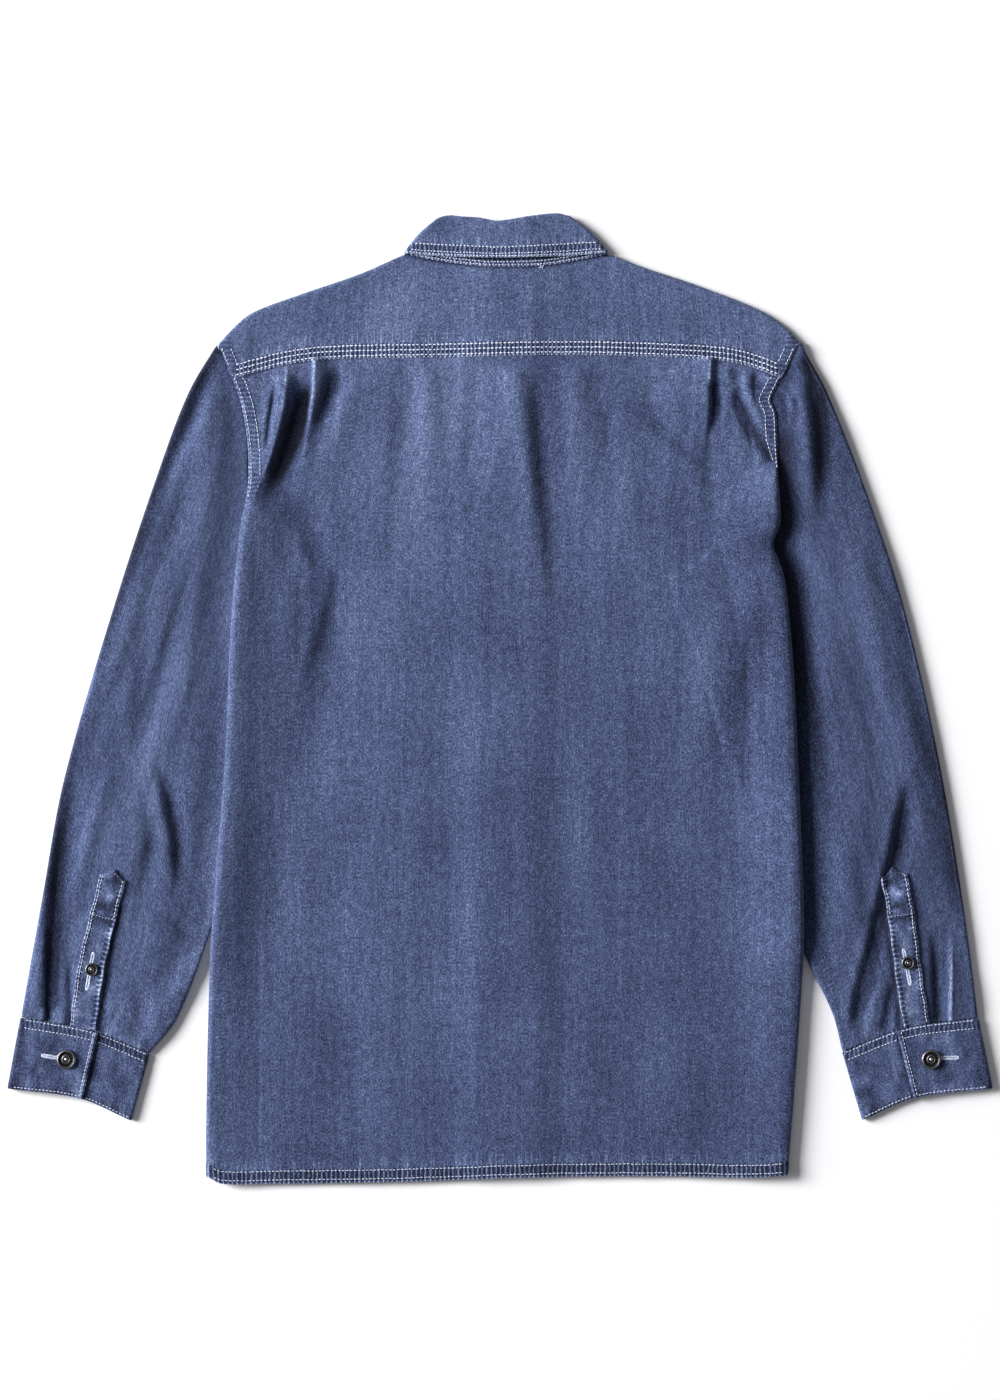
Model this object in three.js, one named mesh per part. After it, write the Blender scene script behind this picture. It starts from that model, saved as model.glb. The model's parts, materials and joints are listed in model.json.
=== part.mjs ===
// A long-sleeved denim work shirt, buttoned up and laid face down on a flat surface.
// The back and yoke lie on top, the fronts lie on the surface, and the sleeves run down
// beside the body and a little way under it.
// Lengths are millimetres. X runs across the shirt, Y towards the collar, Z up.
// Left and right are as seen from above, which for a shirt lying face down are the wearer's own.
import * as THREE from "three";

// Driving dimensions
const CLOTH = 1.2; // one layer of denim
const LEAF_CLOTH = 1.6; // the two layers of the collar leaf
const CUFF_CLOTH = 2.0; // the two layers of a cuff
const FELL_CLOTH = 2.0; // the felled seam along the yoke's edge
const HEM_CLOTH = 1.8; // the turned hem
const GAP = 0.3; // between pieces that touch
const CENTRE_FRONT = 6; // x of the line of buttons
const FRONT_OVERLAP = 17; // each front passes the centre by this much
const BUTTON_LIFT = 2.7; // room under the outer front for its buttons
const BACK_LEVEL = 4.6; // middle of the back's wall where it lies on the fronts
const SEAM_LEVEL = 4.4; // middle of the back's tucked edge at the armhole
const ON_SLEEVE = 3.6; // how far the back's tucked edge is raised where it lies on a sleeve
const TUCKED_SLEEVE = 2.6; // middle of a sleeve's upper layer where the body lies on it
const ARMHOLE_SLEEVE = 5; // where it meets the body at the shoulder
const SLEEVE_LEVEL = 7.4; // in the open
const CUFF_LEVEL = 5.4; // and at the cuff
const SLEEVE_LENGTH = 600; // from armhole to cuff
const CUFF_DEPTH = 65;
const YOKE_DEPTH = 80;
const YOKE_FELL = 12; // width of the yoke's stitched edge
const FLOOR = CLOTH / 2; // middle of a layer that lies on the surface

// Small sums

const clamp = (t) => Math.min(1, Math.max(0, t));
const mix = (a, b, t) => a + (b - a) * t;
const point = (x, y, z = 0) => new THREE.Vector3(x, y, z);

function smooth(t) {
  const c = clamp(t);
  return c * c * (3 - 2 * c);
}

// Rows from 0 to 1, closer together near 0 as crowd goes from 0 to 1.
const steps = (n, crowd = 0) =>
  Array.from({ length: n + 1 }, (_, i) => mix(i / n, (i / n) ** 2, crowd));

// Cubic through values v at rising keys k, level with its neighbours' slope.
function spline(keys, values) {
  const last = keys.length - 1;
  const slope = (i) => {
    const a = Math.max(0, i - 1);
    const b = Math.min(last, i + 1);
    return (values[b] - values[a]) / (keys[b] - keys[a]);
  };
  return (key) => {
    const k = Math.min(keys[last], Math.max(keys[0], key));
    let i = 0;
    while (i < last - 1 && k > keys[i + 1]) i += 1;
    const h = keys[i + 1] - keys[i];
    const t = (k - keys[i]) / h;
    return (
      values[i] * (1 + 2 * t) * (1 - t) ** 2 +
      slope(i) * h * t * (1 - t) ** 2 +
      values[i + 1] * t * t * (3 - 2 * t) -
      slope(i + 1) * h * t * t * (1 - t)
    );
  };
}

// A table's column as a function of its y, where the rows run down the shirt.
function column(rows, name) {
  const rising = [...rows].reverse();
  return spline(
    rising.map((row) => row.y),
    rising.map((row) => row[name]),
  );
}

// A smooth plan curve through rows of x and y, read from 0 to 1 along its length.
function curve(rows) {
  const reach = [0];
  for (let i = 1; i < rows.length; i += 1)
    reach.push(reach[i - 1] + Math.hypot(rows[i].x - rows[i - 1].x, rows[i].y - rows[i - 1].y));
  const x = spline(reach, rows.map((row) => row.x));
  const y = spline(reach, rows.map((row) => row.y));
  return (t) => point(x(t * reach.at(-1)), y(t * reach.at(-1)));
}

// A patch bounded by four curves: s runs along start and end, t along near and far.
function patch(start, end, near, far) {
  return (s, t) => {
    const sides = near(t).lerp(far(t), s);
    const ends = start(s).lerp(end(s), t);
    const corners = start(0).lerp(start(1), s).lerp(end(0).lerp(end(1), s), t);
    return sides.add(ends).sub(corners);
  };
}

// Folds: each runs in a bow from its head through its middle to its tail, rises by height, and
// falls away over west and east of it, as its head and tail fade over those shares of its length.

const FOLD_STEPS = 8;
function traced(folds) {
  return folds.map((f) => {
    const bow = (a, m, b, t) => mix(mix(a, 2 * m - (a + b) / 2, t), mix(2 * m - (a + b) / 2, b, t), t);
    const line = steps(FOLD_STEPS).map((t) =>
      point(bow(f.x1, f.xm, f.x2, t), bow(f.y1, f.ym, f.y2, t)),
    );
    return { ...f, line };
  });
}

// Height that traced folds add at x, y.
function foldHeight(folds, x, y) {
  const here = point(x, y);
  const nearest = point(0, 0);
  let sum = 0;
  for (const f of folds) {
    let best = { d: Infinity };
    for (let i = 0; i < FOLD_STEPS; i += 1) {
      const part = new THREE.Line3(f.line[i], f.line[i + 1]);
      const share = part.closestPointToPointParameter(here, true);
      const d = part.at(share, nearest).distanceTo(here);
      if (d < best.d) best = { d, t: (i + share) / FOLD_STEPS, east: x > nearest.x };
    }
    const reach = best.d / (best.east ? f.east : f.west);
    const ends = smooth(best.t / f.head) * smooth((1 - best.t) / f.tail);
    sum += f.height * Math.exp(-reach * reach) * ends;
  }
  return sum;
}

// Walls of cloth

// A closed wall about a grid of middle points. thick(i, j) is its thickness there, looped joins
// the last column to the first, and keep(i, j) leaves a cell out where it is false.
function wall(grid, thick, looped = false, keep = () => true) {
  const rows = grid.length;
  const cols = grid[0].length;
  const at = (i, j) => {
    const jj = looped ? (j + cols) % cols : Math.min(cols - 1, Math.max(0, j));
    return grid[Math.min(rows - 1, Math.max(0, i))][jj];
  };
  const used = (i, j) => i >= 0 && i < rows - 1 && (looped || (j >= 0 && j < cols - 1));
  const here = (i, j) => used(i, j) && keep(i, looped ? (j + cols) % cols : j);
  const positions = [];
  for (const side of [1, -1])
    for (let i = 0; i < rows; i += 1)
      for (let j = 0; j < cols; j += 1) {
        const up = here(i, j) || here(i, j - 1) ? i + 1 : i;
        const down = here(i - 1, j) || here(i - 1, j - 1) ? i - 1 : i;
        const along = at(up, j).clone().sub(at(down, j));
        const across = at(i, j + 1).clone().sub(at(i, j - 1));
        const normal = across.cross(along).normalize();
        const p = at(i, j).clone().addScaledVector(normal, (side * thick(i, j)) / 2);
        positions.push(p.x, p.y, p.z);
      }
  const id = (i, j, k) => k * rows * cols + i * cols + (looped ? (j + cols) % cols : j);
  const faces = [];
  const quad = (a, b, c, d) => faces.push(a, b, c, a, c, d);
  const lastColumn = looped ? cols : cols - 1;
  for (let i = 0; i < rows - 1; i += 1)
    for (let j = 0; j < lastColumn; j += 1) {
      if (!here(i, j)) continue;
      quad(id(i, j, 0), id(i, j + 1, 0), id(i + 1, j + 1, 0), id(i + 1, j, 0));
      quad(id(i, j, 1), id(i + 1, j, 1), id(i + 1, j + 1, 1), id(i, j + 1, 1));
      if (!here(i - 1, j)) quad(id(i, j, 0), id(i, j, 1), id(i, j + 1, 1), id(i, j + 1, 0));
      if (!here(i + 1, j))
        quad(id(i + 1, j, 0), id(i + 1, j + 1, 0), id(i + 1, j + 1, 1), id(i + 1, j, 1));
      if (!here(i, j - 1)) quad(id(i, j, 0), id(i + 1, j, 0), id(i + 1, j, 1), id(i, j, 1));
      if (!here(i, j + 1))
        quad(id(i, j + 1, 0), id(i, j + 1, 1), id(i + 1, j + 1, 1), id(i + 1, j + 1, 0));
    }
  return facingOut(positions, faces);
}

// Turns a closed mesh's faces to point outwards, whichever way its grid ran.
function facingOut(positions, faces) {
  const v = (n) => point(positions[3 * n], positions[3 * n + 1], positions[3 * n + 2]);
  let volume = 0;
  for (let n = 0; n < faces.length; n += 3)
    volume += v(faces[n]).dot(v(faces[n + 1]).cross(v(faces[n + 2])));
  const turned = volume > 0 ? faces : [...faces].reverse();
  const kept = [...new Set(turned)].sort((a, b) => a - b);
  const renumbered = new Map(kept.map((old, n) => [old, n]));
  const geometry = new THREE.BufferGeometry();
  const xyz = kept.flatMap((n) => positions.slice(3 * n, 3 * n + 3));
  geometry.setAttribute("position", new THREE.Float32BufferAttribute(xyz, 3));
  geometry.setIndex(turned.map((n) => renumbered.get(n)));
  geometry.computeVertexNormals();
  return geometry;
}

const denim = new THREE.MeshStandardMaterial({ color: 0x56678f, roughness: 0.9, metalness: 0 });
const metal = new THREE.MeshStandardMaterial({ color: 0x8b8780, roughness: 0.35, metalness: 0.9 });
const shirt = new THREE.Group();

function add(name, geometry, material = denim) {
  const mesh = new THREE.Mesh(geometry, material);
  mesh.name = name;
  shirt.add(mesh);
  return mesh;
}

// Half turns are drawn with this many flats.
const ROLL_STEPS = 5;
const rollAngles = Array.from({ length: ROLL_STEPS - 1 }, (_, i) => ((i + 1) * Math.PI) / ROLL_STEPS);

// The body's sides
// Down each side: the outermost x of the cloth, the radius of its roll, and the x where the
// back, tucked under, meets the armhole or the side seam.

const LEFT_SIDE = [
  { y: 276, edge: -227.6, radius: 0.8, under: -223.8 },
  { y: 251, edge: -219.2, radius: 0.8, under: -215.4 },
  { y: 217, edge: -213.8, radius: 0.8, under: -210 },
  { y: 196, edge: -213, radius: 0.9, under: -209 },
  { y: 180, edge: -213.6, radius: 2.2, under: -209 },
  { y: 165, edge: -216, radius: 4, under: -208.5 },
  { y: 150, edge: -219.5, radius: 4.5, under: -204 },
  { y: 122, edge: -222.5, radius: 4.5, under: -180 },
  { y: 105, edge: -224.5, radius: 4.5, under: -151 },
  { y: 68, edge: -227.8, radius: 4.5, under: -154.5 },
  { y: -51, edge: -233, radius: 4.5, under: -169 },
  { y: -153, edge: -241, radius: 4.4, under: -181.4 },
  { y: -204, edge: -244.8, radius: 4, under: -187.6 },
  { y: -255, edge: -246.8, radius: 3.4, under: -193.8 },
  { y: -323, edge: -248.4, radius: 3.2, under: -202 },
  { y: -402, edge: -248.8, radius: 3, under: -211.5 },
  { y: -414, edge: -245.6, radius: 3, under: -213 },
];
const RIGHT_SIDE = [
  { y: 276, edge: 239.2, radius: 0.8, under: 235.4 },
  { y: 265, edge: 234, radius: 0.8, under: 230.2 },
  { y: 256, edge: 230, radius: 0.8, under: 226.2 },
  { y: 250, edge: 231, radius: 0.8, under: 227.2 },
  { y: 244, edge: 234, radius: 0.8, under: 230.2 },
  { y: 227, edge: 235, radius: 0.8, under: 231.2 },
  { y: 208, edge: 235, radius: 1.2, under: 230.6 },
  { y: 190, edge: 235.6, radius: 3.2, under: 229 },
  { y: 170, edge: 236.9, radius: 5, under: 226 },
  { y: 150, edge: 237.2, radius: 5.2, under: 213 },
  { y: 132, edge: 231.2, radius: 5, under: 197 },
  { y: 119, edge: 235.8, radius: 5.3, under: 181 },
  { y: 105, edge: 240.5, radius: 5.5, under: 153 },
  { y: 76, edge: 244.4, radius: 5.5, under: 156 },
  { y: 17, edge: 249.2, radius: 5.5, under: 163 },
  { y: -102, edge: 254.6, radius: 5.4, under: 176.5 },
  { y: -170, edge: 257.2, radius: 5.2, under: 184 },
  { y: -208, edge: 257.3, radius: 5, under: 188.5 },
  { y: -255, edge: 255, radius: 4.4, under: 194 },
  { y: -340, edge: 249, radius: 4.2, under: 203.5 },
  { y: -413, edge: 243, radius: 4, under: 212 },
];

// A side's columns, and the x of its sleeve's inner edge, as functions of y.
const sideOf = (rows, sign) => ({
  sign,
  edge: column(rows, "edge"),
  radius: column(rows, "radius"),
  under: column(rows, "under"),
});
const left = sideOf(LEFT_SIDE, -1);
const right = sideOf(RIGHT_SIDE, 1);

// Plan of a sleeve: its armhole from shoulder to underarm, its outer and inner edges from
// armhole to cuff, and the cuff's own seam and end from outer to inner side.
const LEFT_SLEEVE_PLAN = {
  armhole: [
    { x: -241, y: 300.2 },
    { x: -230.4, y: 278 },
    { x: -220.8, y: 251 },
    { x: -215.6, y: 217 },
    { x: -214.8, y: 190 },
    { x: -212.5, y: 172 },
    { x: -205, y: 150 },
    { x: -181, y: 122 },
    { x: -151.4, y: 105 },
  ],
  outer: [
    { x: -241, y: 300.2 },
    { x: -262.7, y: 263.5 },
    { x: -283, y: 212.5 },
    { x: -325.6, y: 85 },
    { x: -369.8, y: -68 },
    { x: -388.5, y: -170 },
    { x: -406.3, y: -269.5 },
  ],
  inner: [
    { x: -151.4, y: 105 },
    { x: -196, y: -40 },
    { x: -244.8, y: -191 },
    { x: -274.6, y: -270 },
    { x: -298.4, y: -300 },
  ],
  seam: [
    { x: -406.3, y: -269.5 },
    { x: -345, y: -281.5 },
    { x: -298.4, y: -300 },
  ],
  end: [
    { x: -417.4, y: -330 },
    { x: -358, y: -338 },
    { x: -314, y: -357 },
  ],
};
const RIGHT_SLEEVE_PLAN = {
  armhole: [
    { x: 256, y: 303 },
    { x: 248.4, y: 288 },
    { x: 241.4, y: 276 },
    { x: 236, y: 265 },
    { x: 231.9, y: 256 },
    { x: 232.8, y: 250 },
    { x: 235.6, y: 244 },
    { x: 236.6, y: 227 },
    { x: 236.6, y: 206 },
    { x: 235, y: 185 },
    { x: 226, y: 163 },
    { x: 213, y: 146 },
    { x: 185, y: 122 },
    { x: 153.4, y: 105 },
  ],
  outer: [
    { x: 256, y: 303 },
    { x: 260.4, y: 292.6 },
    { x: 276.3, y: 263.5 },
    { x: 306.9, y: 187 },
    { x: 340.9, y: 85 },
    { x: 372.3, y: -51 },
    { x: 394.4, y: -183.6 },
    { x: 405.5, y: -270.3 },
  ],
  inner: [
    { x: 153.4, y: 105 },
    { x: 206, y: -50 },
    { x: 258.4, y: -213 },
    { x: 283, y: -266 },
    { x: 291.5, y: -298.4 },
  ],
  seam: [
    { x: 405.5, y: -270.3 },
    { x: 345, y: -278.5 },
    { x: 291.5, y: -298.4 },
  ],
  end: [
    { x: 417.6, y: -330 },
    { x: 352, y: -338 },
    { x: 308.6, y: -356.5 },
  ],
};
const innerEdgeX = (plan) => column(plan.inner, "x");
left.sleeveInner = innerEdgeX(LEFT_SLEEVE_PLAN);
right.sleeveInner = innerEdgeX(RIGHT_SLEEVE_PLAN);

// Middle height of the back where it is tucked under: on the sleeve, or down on the surface,
// coming down over a ramp that starts a margin past the sleeve's inner edge.
const SLEEVE_MARGIN = 6;
const SLEEVE_RAMP = 14;
const SEAM_TOP = 200;
const SEAM_FADE = 35;
function tuckedLevel(side, x, y) {
  const beyond = (side.sleeveInner(y) - x) * side.sign - SLEEVE_MARGIN;
  const onSleeve = FLOOR + ON_SLEEVE * smooth(1 - beyond / SLEEVE_RAMP);
  return mix(onSleeve, SEAM_LEVEL, smooth((y - SEAM_TOP + SEAM_FADE) / SEAM_FADE));
}

// The fronts, on the surface

// How far the layers at the centre front are raised by the buttons under them, and how far
// the cloth round the neck is raised by the collar leaf under it.
const STRIP_HALF = 18;
const STRIP_RAMP = 32;
const COLLAR_LIFT = 2;
const COLLAR_FOOT = 232;
const COLLAR_REACH = 98;
const COLLAR_RAMP = 30;
const stripLift = (x) => smooth(1 - (Math.abs(x - CENTRE_FRONT) - STRIP_HALF) / STRIP_RAMP);
const neckLift = (x, y) =>
  COLLAR_LIFT *
  smooth((y - COLLAR_FOOT) / COLLAR_RAMP) *
  smooth(1 - (Math.abs(x - CENTRE_FRONT) - COLLAR_REACH) / COLLAR_RAMP);

function frontLevel(x, y, over) {
  const strip = (BUTTON_LIFT + over * (CLOTH + GAP)) * stripLift(x);
  return FLOOR + Math.max(strip, neckLift(x, y));
}

// The back and yoke, on top
// Folds of the back, with x and y of head, middle and tail.

const BACK_FOLDS = traced([
  { name: "left fold edge", x1: -182, y1: 290, xm: -188, ym: 222, x2: -222, y2: 150,
    height: 5.2, west: 7, east: 8, head: 0.3, tail: 0.25 },
  { name: "left pleat trough", x1: -170, y1: 278, xm: -168, ym: 225, x2: -214, y2: 146,
    height: -5.5, west: 9, east: 9, head: 0.3, tail: 0.35 },
  { name: "left pleat ridge", x1: -157, y1: 292, xm: -154, ym: 222, x2: -196, y2: 132,
    height: 4.6, west: 7, east: 12, head: 0.05, tail: 0.5 },
  { name: "left soft trough", x1: -132, y1: 284, xm: -150, ym: 235, x2: -160, y2: 170,
    height: -2.2, west: 9, east: 14, head: 0.3, tail: 0.6 },
  { name: "right pleat ridge", x1: 178, y1: 292, xm: 177, ym: 260, x2: 170, y2: 190,
    height: 3.4, west: 12, east: 5, head: 0.05, tail: 0.7 },
  { name: "right pleat trough", x1: 181, y1: 276, xm: 181, ym: 245, x2: 184, y2: 205,
    height: -3.6, west: 6, east: 7, head: 0.3, tail: 0.6 },
  { name: "right fold edge", x1: 203, y1: 285, xm: 205, ym: 240, x2: 240, y2: 190,
    height: 5, west: 10, east: 7, head: 0.3, tail: 0.2 },
  { name: "right armhole hollow", x1: 218, y1: 284, xm: 212, ym: 250, x2: 226, y2: 222,
    height: -2.4, west: 6, east: 9, head: 0.3, tail: 0.3 },
  { name: "right notch", x1: 242, y1: 131, xm: 226, ym: 134, x2: 208, y2: 140,
    height: -4, west: 7, east: 7, head: 0.1, tail: 0.8 },
  { name: "right side swell", x1: 214, y1: 180, xm: 222, ym: 60, x2: 226, y2: -150,
    height: 2, west: 26, east: 26, head: 0.3, tail: 0.6 },
  { name: "left side swell", x1: -196, y1: 120, xm: -190, ym: 0, x2: -200, y2: -190,
    height: 1.6, west: 24, east: 24, head: 0.4, tail: 0.6 },
  { name: "centre ripple", x1: 38, y1: 282, xm: 34, ym: 180, x2: 30, y2: 60,
    height: -1.3, west: 9, east: 12, head: 0.2, tail: 0.6 },
]);
const EDGE_WIDTH = 58; // how far in the side's height reaches below the armhole
const SEAM_WIDTH = 26; // and beside the armhole
const EDGE_FOLDS = 0.08; // share of a fold left at an edge, for each millimetre of its roll
const CENTRE_RISE = 2.4; // over the buttoned edge
const CLEAR_OF_FRONTS = 1.7;
const CLEAR_OF_TUCK = CLOTH + 0.6; // between middles, where the back lies over its tucked strip
const TUCK_MARGIN = 8; // this far past the strip, the back starts to come down
const TUCK_FADE = 20; // over this distance
const SHOULDER_RAMP = 24;

// Top height at a side's edge.
function edgeTop(side, y) {
  const radius = side.radius(y);
  return tuckedLevel(side, side.edge(y) - side.sign * radius, y) + 2 * radius;
}

const SHOULDER_RADIUS = 2.3;
const SHOULDER_TOP = FLOOR + 2 * SHOULDER_RADIUS;

const NECK_LEFT = { x: -80.8, y: 378 };
const NECK_RIGHT = { x: 95.5, y: 377.6 };
const LEFT_SHOULDER = [
  { x: -239, y: 301.6 },
  { x: -223, y: 318.6 },
  { x: -209, y: 329 },
  { x: -168.3, y: 344.3 },
  { x: -119, y: 361.3 },
  NECK_LEFT,
];
const RIGHT_SHOULDER = [
  NECK_RIGHT,
  { x: 117, y: 368.6 },
  { x: 164, y: 352.8 },
  { x: 217, y: 332.2 },
  { x: 239, y: 318.6 },
  { x: 253.6, y: 304 },
];
const leftShoulderY = spline(LEFT_SHOULDER.map((p) => p.x), LEFT_SHOULDER.map((p) => p.y));
const rightShoulderY = spline(RIGHT_SHOULDER.map((p) => p.x), RIGHT_SHOULDER.map((p) => p.y));

// Distance below the shoulder fold, read straight down the shirt.
function belowShoulder(x, y) {
  if (x < NECK_LEFT.x) return leftShoulderY(x) - y;
  if (x > NECK_RIGHT.x) return rightShoulderY(x) - y;
  return Infinity;
}

// Middle height of the back and yoke.
function backLevel(x, y) {
  const centre = CENTRE_RISE * stripLift(x);
  const folds = foldHeight(BACK_FOLDS, x, y);
  let z = BACK_LEVEL + centre + folds;
  for (const side of [left, right]) {
    const inside = (side.edge(y) - x) * side.sign;
    const width = mix(EDGE_WIDTH, SEAM_WIDTH, smooth((y - SEAM_TOP + SEAM_FADE) / SEAM_FADE));
    const share = 1 - smooth(inside / width);
    z = mix(z, edgeTop(side, y) + EDGE_FOLDS * side.radius(y) * folds, share);
    const past = (side.under(y) - x) * side.sign;
    const overTuck = smooth(1 - (past - TUCK_MARGIN) / TUCK_FADE);
    z = Math.max(z, (tuckedLevel(side, x, y) + CLEAR_OF_TUCK) * overTuck);
  }
  z = mix(SHOULDER_TOP, z, smooth(belowShoulder(x, y) / SHOULDER_RAMP));
  return Math.max(z, frontLevel(x, y, 1) + CLEAR_OF_FRONTS);
}

// The yoke's lower edge, where it is felled over the back.
const YOKE_SEAM = [
  { x: -227.4, y: 272.6 },
  { x: -181, y: 284.6 },
  { x: -144.5, y: 289 },
  { x: -60, y: 290.8 },
  { x: 72, y: 293 },
  { x: 170, y: 289.6 },
  { x: 206, y: 285 },
  { x: 239.2, y: 273.4 },
];
const yokeSeam = curve(YOKE_SEAM);
const yokeSeamY = spline(YOKE_SEAM.map((p) => p.x), YOKE_SEAM.map((p) => p.y));
const HEM = [
  { x: -248, y: -406.4 },
  { x: -236, y: -412.6 },
  { x: -200, y: -414 },
  { x: -85, y: -411.8 },
  { x: 20, y: -409.2 },
  { x: 136, y: -406.6 },
  { x: 215, y: -407.6 },
  { x: 243, y: -405.4 },
];
const hemY = spline(HEM.map((p) => p.x), HEM.map((p) => p.y));

// Back panel: tucked strip, roll, top, roll and tucked strip, in rows down the shirt.

const BACK_ROWS = 26;
const BACK_TOP_COLUMNS = 28;
const TUCK_STEP = 2.5; // the least distance between columns of a tucked strip
const SIDE_CROWD = 0.6; // how much closer the columns lie at the sides
const HEM_DEPTH = 12;
const YOKE_GAP = 0.4; // between the back's upper edge and the yoke's
const SIDE_X = 230; // near both sides, to find a row's height there
const ROWS_CROWD = 0.72; // how much closer the rows lie under the yoke
const HEM_LIFT = (HEM_CLOTH - CLOTH) / 2;
const HEM_START = 1 - HEM_DEPTH / (YOKE_SEAM[0].y - HEM[1].y);
const backRows = [...steps(BACK_ROWS - 1, ROWS_CROWD).map((v) => v * HEM_START), 1];
const backRowY = (x, v) => mix(yokeSeamY(x) - YOKE_GAP, hemY(x), v);
const sideRowY = (side, v) => backRowY(side.edge(backRowY(side.sign * SIDE_X, v)), v);

function backPanel() {
  const tuck = (side, v) => {
    const y = sideRowY(side, v);
    const radius = side.radius(y);
    const start = (side.edge(y) - side.sign * radius) * side.sign;
    const top = side.sleeveInner(y) * side.sign - SLEEVE_MARGIN;
    const first = Math.min(side.under(y) * side.sign, start - 3 * TUCK_STEP);
    const foot = Math.min(Math.max(top - SLEEVE_RAMP, first + TUCK_STEP), start - 2 * TUCK_STEP);
    const ramped = Math.min(Math.max(top, foot + TUCK_STEP), start - TUCK_STEP);
    return [first, foot, ramped].map((out) => {
      const x = out * side.sign;
      return point(x, y, tuckedLevel(side, x, y));
    });
  };
  const roll = (side, v) => {
    const y = sideRowY(side, v);
    const radius = side.radius(y);
    const start = side.edge(y) - side.sign * radius;
    const low = tuckedLevel(side, start, y);
    return [0, ...rollAngles].map((a) =>
      point(start + side.sign * radius * Math.sin(a), y, low + radius * (1 - Math.cos(a))),
    );
  };
  const topRow = (v) => {
    const yl = sideRowY(left, v);
    const yr = sideRowY(right, v);
    const x0 = left.edge(yl) + left.radius(yl);
    const x1 = right.edge(yr) - right.radius(yr);
    return steps(BACK_TOP_COLUMNS).map((f) => {
      const crowded = mix(f, 0.5 - 0.5 * Math.cos(Math.PI * f), SIDE_CROWD);
      const x = mix(x0, x1, crowded);
      const y = backRowY(x, v);
      return point(x, y, backLevel(x, y));
    });
  };
  const inHem = (i) => i >= backRows.length - 2;
  const grid = backRows.map((v, i) => {
    const row = [
      ...tuck(left, v),
      ...roll(left, v),
      ...topRow(v),
      ...roll(right, v).reverse(),
      ...tuck(right, v).reverse(),
    ];
    return inHem(i) ? row.map((p) => p.setZ(p.z + HEM_LIFT)) : row;
  });
  return wall(grid, (i) => (inHem(i) ? HEM_CLOTH : CLOTH));
}
add("back", backPanel());

// Where the fronts, the sleeves and the yoke's front edge meet

const SEAM_GAP = 1.3; // between a front and the sleeve or back it is sewn to

// Shares of an armhole where a front's rows and a sleeve's lower columns both lie.
const YOKE_FRONT_SHARE = 0.16;
const ARMHOLE_STEPS = 9;
const armholeShares = steps(ARMHOLE_STEPS).map((f) => mix(YOKE_FRONT_SHARE, 1, f));

// A point of a curve, moved to its side by d.
function aside(c, t, d) {
  const way = c(Math.min(1, t + 0.01)).sub(c(Math.max(0, t - 0.01))).normalize();
  return c(t).add(point(-way.y * d, way.x * d));
}

// A front's edge at the armhole, as points from the yoke's front edge to the underarm.
const frontArmhole = (side, plan) =>
  armholeShares.map((t) => aside(curve(plan.armhole), t, -side.sign * SEAM_GAP));

// Yoke: from the felled seam up to the neck, and over each shoulder to the front.

const SHOULDER_COLUMNS = 8;
const NECK_COLUMNS = 10;
const YOKE_ROWS = 7;
const YOKE_FRONT_ROWS = 3;
const CREST_SHARE = 0.9; // share of the yoke's depth where it starts to turn over the shoulder
const BACK_NECK = [
  NECK_LEFT,
  { x: -60, y: 373.4 },
  { x: -17, y: 368 },
  { x: 11, y: 367.4 },
  { x: 40, y: 368.6 },
  { x: 74, y: 374.2 },
  NECK_RIGHT,
];
const FRONT_SEAM_GAP = 0.5;
const raised = (p) => ({ x: p.x, y: p.y + FRONT_SEAM_GAP });
const LEFT_FRONT_SEAM = [raised(frontArmhole(left, LEFT_SLEEVE_PLAN)[0]), { x: -62, y: 334 }];
const RIGHT_FRONT_SEAM = [{ x: 77, y: 333 }, raised(frontArmhole(right, RIGHT_SLEEVE_PLAN)[0])];

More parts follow.
